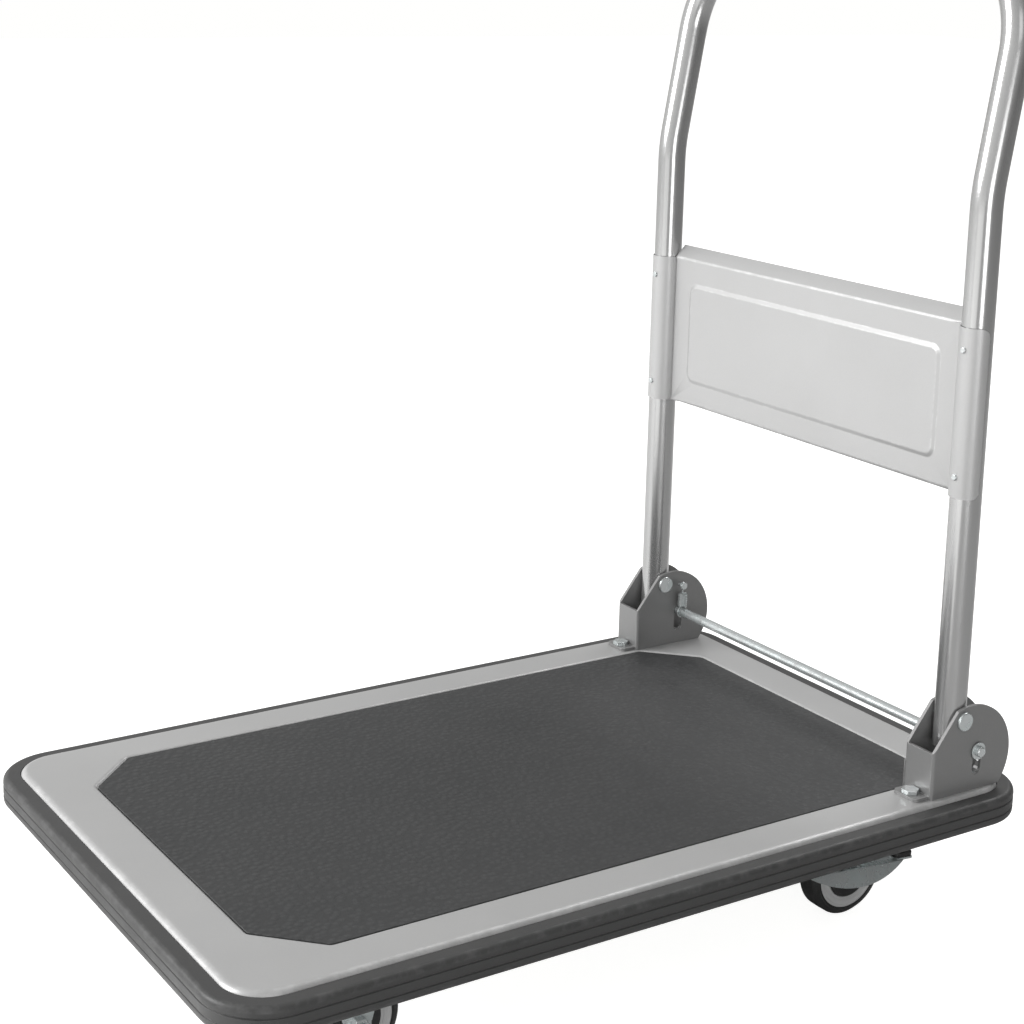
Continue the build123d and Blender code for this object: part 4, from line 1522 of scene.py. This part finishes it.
    def panel(self) -> None:
        """The panel: raised field, flat border, sleeves round the legs, top band and hem."""
        low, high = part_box("handle_panel")
        bottom = low.z + self.sheet / 2
        top = high.z - self.band
        flat_x = self.leg_x - self.tube_radius - self.sleeve_gap - self.sheet / 2
        form = self.field(flat_x, bottom, top)
        for side in Side:
            seam = [edge for edge in form.edges if edge.is_boundary
                    and all(abs(v.co.x - side.value * flat_x) < CLOSE for v in edge.verts)]
            self.sleeve(form, seam, side)
        rise = self.band * math.tan(math.radians(self.band_slope))
        for level, move in ((top, Vector((0.0, rise, self.band))),
                            (bottom, Vector((0.0, self.hem + self.sheet / 2, 0.0)))):
            line = [edge for edge in form.edges if edge.is_boundary
                    and all(abs(v.co.z - level) < CLOSE and abs(v.co.y - self.leg_y) < CLOSE
                            and abs(v.co.x) < flat_x + CLOSE for v in edge.verts)]
            far = self.pushed(form, line, move)
            bmesh.ops.scale(form, vec=((flat_x - self.end_relief) / flat_x, 1.0, 1.0),
                            verts=points_of(far))
        bmesh.ops.recalc_face_normals(form, faces=form.faces)
        for level, bend, segments in ((bottom, self.hem_bend, 6), (top, self.band_bend, 4)):
            fold = [edge for edge in sharp_edges(form, 25.0)
                    if all(abs(v.co.y - self.leg_y) < CLOSE and abs(v.co.z - level) < CLOSE
                           for v in edge.verts)]
            round_edges(form, fold, bend, segments)
        thicken(publish(form, "pressed_handle_panel", SILVER, "handle_panel", 50.0), self.sheet)

    def field(self, flat_x: float, bottom: float, top: float) -> bmesh.types.BMesh:
        """The flat part of the panel between the legs, with its raised field.

        Args:
            flat_x: Half the flat part's width.
            bottom: Height of its lower edge.
            top: Height of its upper edge.

        Returns:
            The form, standing between the legs.
        """
        width = 2 * (flat_x - self.emboss_side)
        height = top - bottom - 2 * self.emboss_edge
        slope = self.emboss_slope
        form = bmesh.new()
        base = rounded_loop(form, width, height, self.emboss_corner, 0.0, 8)
        crown = rounded_loop(form, width - 2 * slope, height - 2 * slope,
                             self.emboss_corner - slope, self.emboss_depth, 8)
        border = rounded_loop(form, 2 * flat_x, top - bottom, 0.0, 0.0)
        bridged(form, border, base)
        bridged(form, base, crown)
        bmesh.ops.contextual_create(form, geom=crown)
        stand = Matrix.Translation((0.0, self.leg_y, (bottom + top) / 2)) @ UPRIGHT
        bmesh.ops.transform(form, matrix=stand, verts=form.verts)
        bmesh.ops.recalc_face_normals(form, faces=form.faces)
        round_edges(form, sharp_edges(form, 15.0), self.emboss_bend)
        return form

    def sleeve(self, form: bmesh.types.BMesh, seam: Loop, side: Side) -> None:
        """Wrap the panel's edge round the front of a leg, with rounded outer corners.

        Args:
            form: The form being made.
            seam: The panel's upright edge beside the leg.
            side: Which leg.
        """
        leg = Vector((side.value * self.leg_x, self.leg_y, 0.0))
        axis = Z_AXIS * side.value
        steps = 8
        edges = self.bent(form, seam, leg, axis, math.radians(self.sleeve_wrap), 20)
        heights = [point.co.z for point in points_of(edges)]
        level = (min(heights) + max(heights)) / 2
        half = (max(heights) - min(heights)) / 2
        for number in range(1, steps + 1):
            edges = self.bent(form, edges, leg, axis, math.radians(self.sleeve_tip / steps), 1)
            cut = self.sleeve_corner * (1 - math.sqrt(1 - (number / steps) ** 2))
            for point in points_of(edges):
                point.co.z = level + math.copysign(half - cut, point.co.z - level)


# ---------------------------------------------------------------- studio


@dataclass(frozen=True)
class SoftPanel:
    """A square light panel: its name, place, side in metres and power in watts."""

    name: str
    spot: tuple[float, float, float]
    size: float
    power: float


PANELS = (SoftPanel("key panel", (-1.5, -2.9, 1.85), 1.6, 104.0),
          SoftPanel("side panel", (2.6, -0.8, 2.2), 1.2, 4.0),
          SoftPanel("low panel", (2.6, -0.9, 0.45), 1.0, 14.0),
          SoftPanel("back panel", (-0.6, 2.4, 2.6), 1.6, 38.0))


@dataclass
class Studio:
    """A pale floor, a pale sky, soft light panels and the camera."""

    azimuth: float = 57.01
    elevation: float = 11.65
    roll: float = 1.40
    place: tuple[float, float, float] = (1.3078, -0.8600, 0.7937)
    lens: float = 70.06
    sensor: float = 36.0
    shift_y: float = -0.150
    farthest: float = 100.0
    floor_half: float = 14.0
    aim: tuple[float, float, float] = (0.0, 0.0, 0.3)
    bright_side: tuple[float, float, float] = (-0.40, -0.90, 0.15)
    sky_bright: float = 1.0
    sky_dark: float = 0.06
    sky_top: float = 0.7

    def build(self) -> None:
        """Lay the floor, light it and set up the camera."""
        self.floor()
        self.sky()
        for panel in PANELS:
            self.hang(panel)
        self.camera()

    def floor(self) -> None:
        """A wide flat floor at height 0."""
        form = bmesh.new()
        bmesh.ops.create_grid(form, x_segments=1, y_segments=1, size=self.floor_half)
        mesh = meshed(form, "studio_floor")
        mesh.materials.append(StudioFloor("studio floor", "floor").material())
        added("studio_floor", mesh)

    def sky(self) -> None:
        """A pale sky, brightest on one side, even where it is seen."""
        world = bpy.data.worlds.new("studio sky")
        world.use_nodes = True
        wiring = Wiring(world.node_tree)
        ahead = wiring.add("ShaderNodeTexCoord").outputs["Generated"]
        facing = wiring.add("ShaderNodeVectorMath", {0: ahead, 1: self.bright_side},
                            operation="DOT_PRODUCT").outputs["Value"]
        height = wiring.add("ShaderNodeSeparateXYZ", {0: ahead}).outputs["Z"]
        glow = wiring.math("MULTIPLY",
                           wiring.spread(facing, -1.0, 1.0, self.sky_dark, self.sky_bright),
                           wiring.spread(height, 0.1, 1.0, 1.0, self.sky_top))
        seen = wiring.add("ShaderNodeLightPath").outputs["Is Camera Ray"]
        strength = wiring.add("ShaderNodeMix", {0: seen, 2: glow, 3: 1.0}).outputs[0]
        light = wiring.add("ShaderNodeBackground", {"Color": PALE_WHITE, "Strength": strength})
        output = wiring.add("ShaderNodeOutputWorld")
        world.node_tree.links.new(light.outputs[0], output.inputs["Surface"])
        bpy.context.scene.world = world
        bpy.context.scene.view_settings.view_transform = "Standard"

    def hang(self, panel: SoftPanel) -> None:
        """Hang a light panel, aimed at the cart.

        Args:
            panel: The panel.
        """
        light = bpy.data.lights.new(panel.name, "AREA")
        light.shape = "SQUARE"
        light.size = panel.size
        light.energy = panel.power
        lamp = added(panel.name, light)
        lamp.location = panel.spot
        toward = Vector(self.aim) - Vector(panel.spot)
        lamp.rotation_euler = toward.to_track_quat("-Z", "Y").to_euler()

    def camera(self) -> None:
        """The camera at its place, turn and roll."""
        turn, tip = math.radians(self.azimuth), math.radians(self.elevation)
        back = Vector((math.sin(turn) * math.cos(tip), -math.cos(turn) * math.cos(tip),
                       math.sin(tip)))
        right = Vector((math.cos(turn), math.sin(turn), 0.0))
        up = back.cross(right)
        lean = math.radians(self.roll)
        across = right * math.cos(lean) + up * math.sin(lean)
        upward = up * math.cos(lean) - right * math.sin(lean)
        pose = Matrix((across, upward, back)).transposed().to_4x4()
        camera = bpy.data.cameras.new("studio camera")
        camera.lens = self.lens
        camera.sensor_width = self.sensor
        camera.shift_y = self.shift_y
        camera.clip_end = self.farthest
        stand = added("studio camera", camera)
        stand.matrix_world = Matrix.Translation(self.place) @ pose
        bpy.context.scene.camera = stand


def note_size() -> None:
    """Bring the scene's placements up to date."""
    bpy.context.view_layer.update()


def main() -> None:
    """Build the cart piece by piece, then the studio round it."""
    logging.basicConfig(level=logging.INFO, format="%(name)s %(message)s")
    PressedDeck().build()
    UnderFrame().build()
    for end in End:
        for side in Side:
            Caster(end, side).build()
    Fasteners().build()
    FoldingHinge().build()
    PushHandle().build()
    Studio().build()
    note_size()


if __name__ == "__main__":
    main()
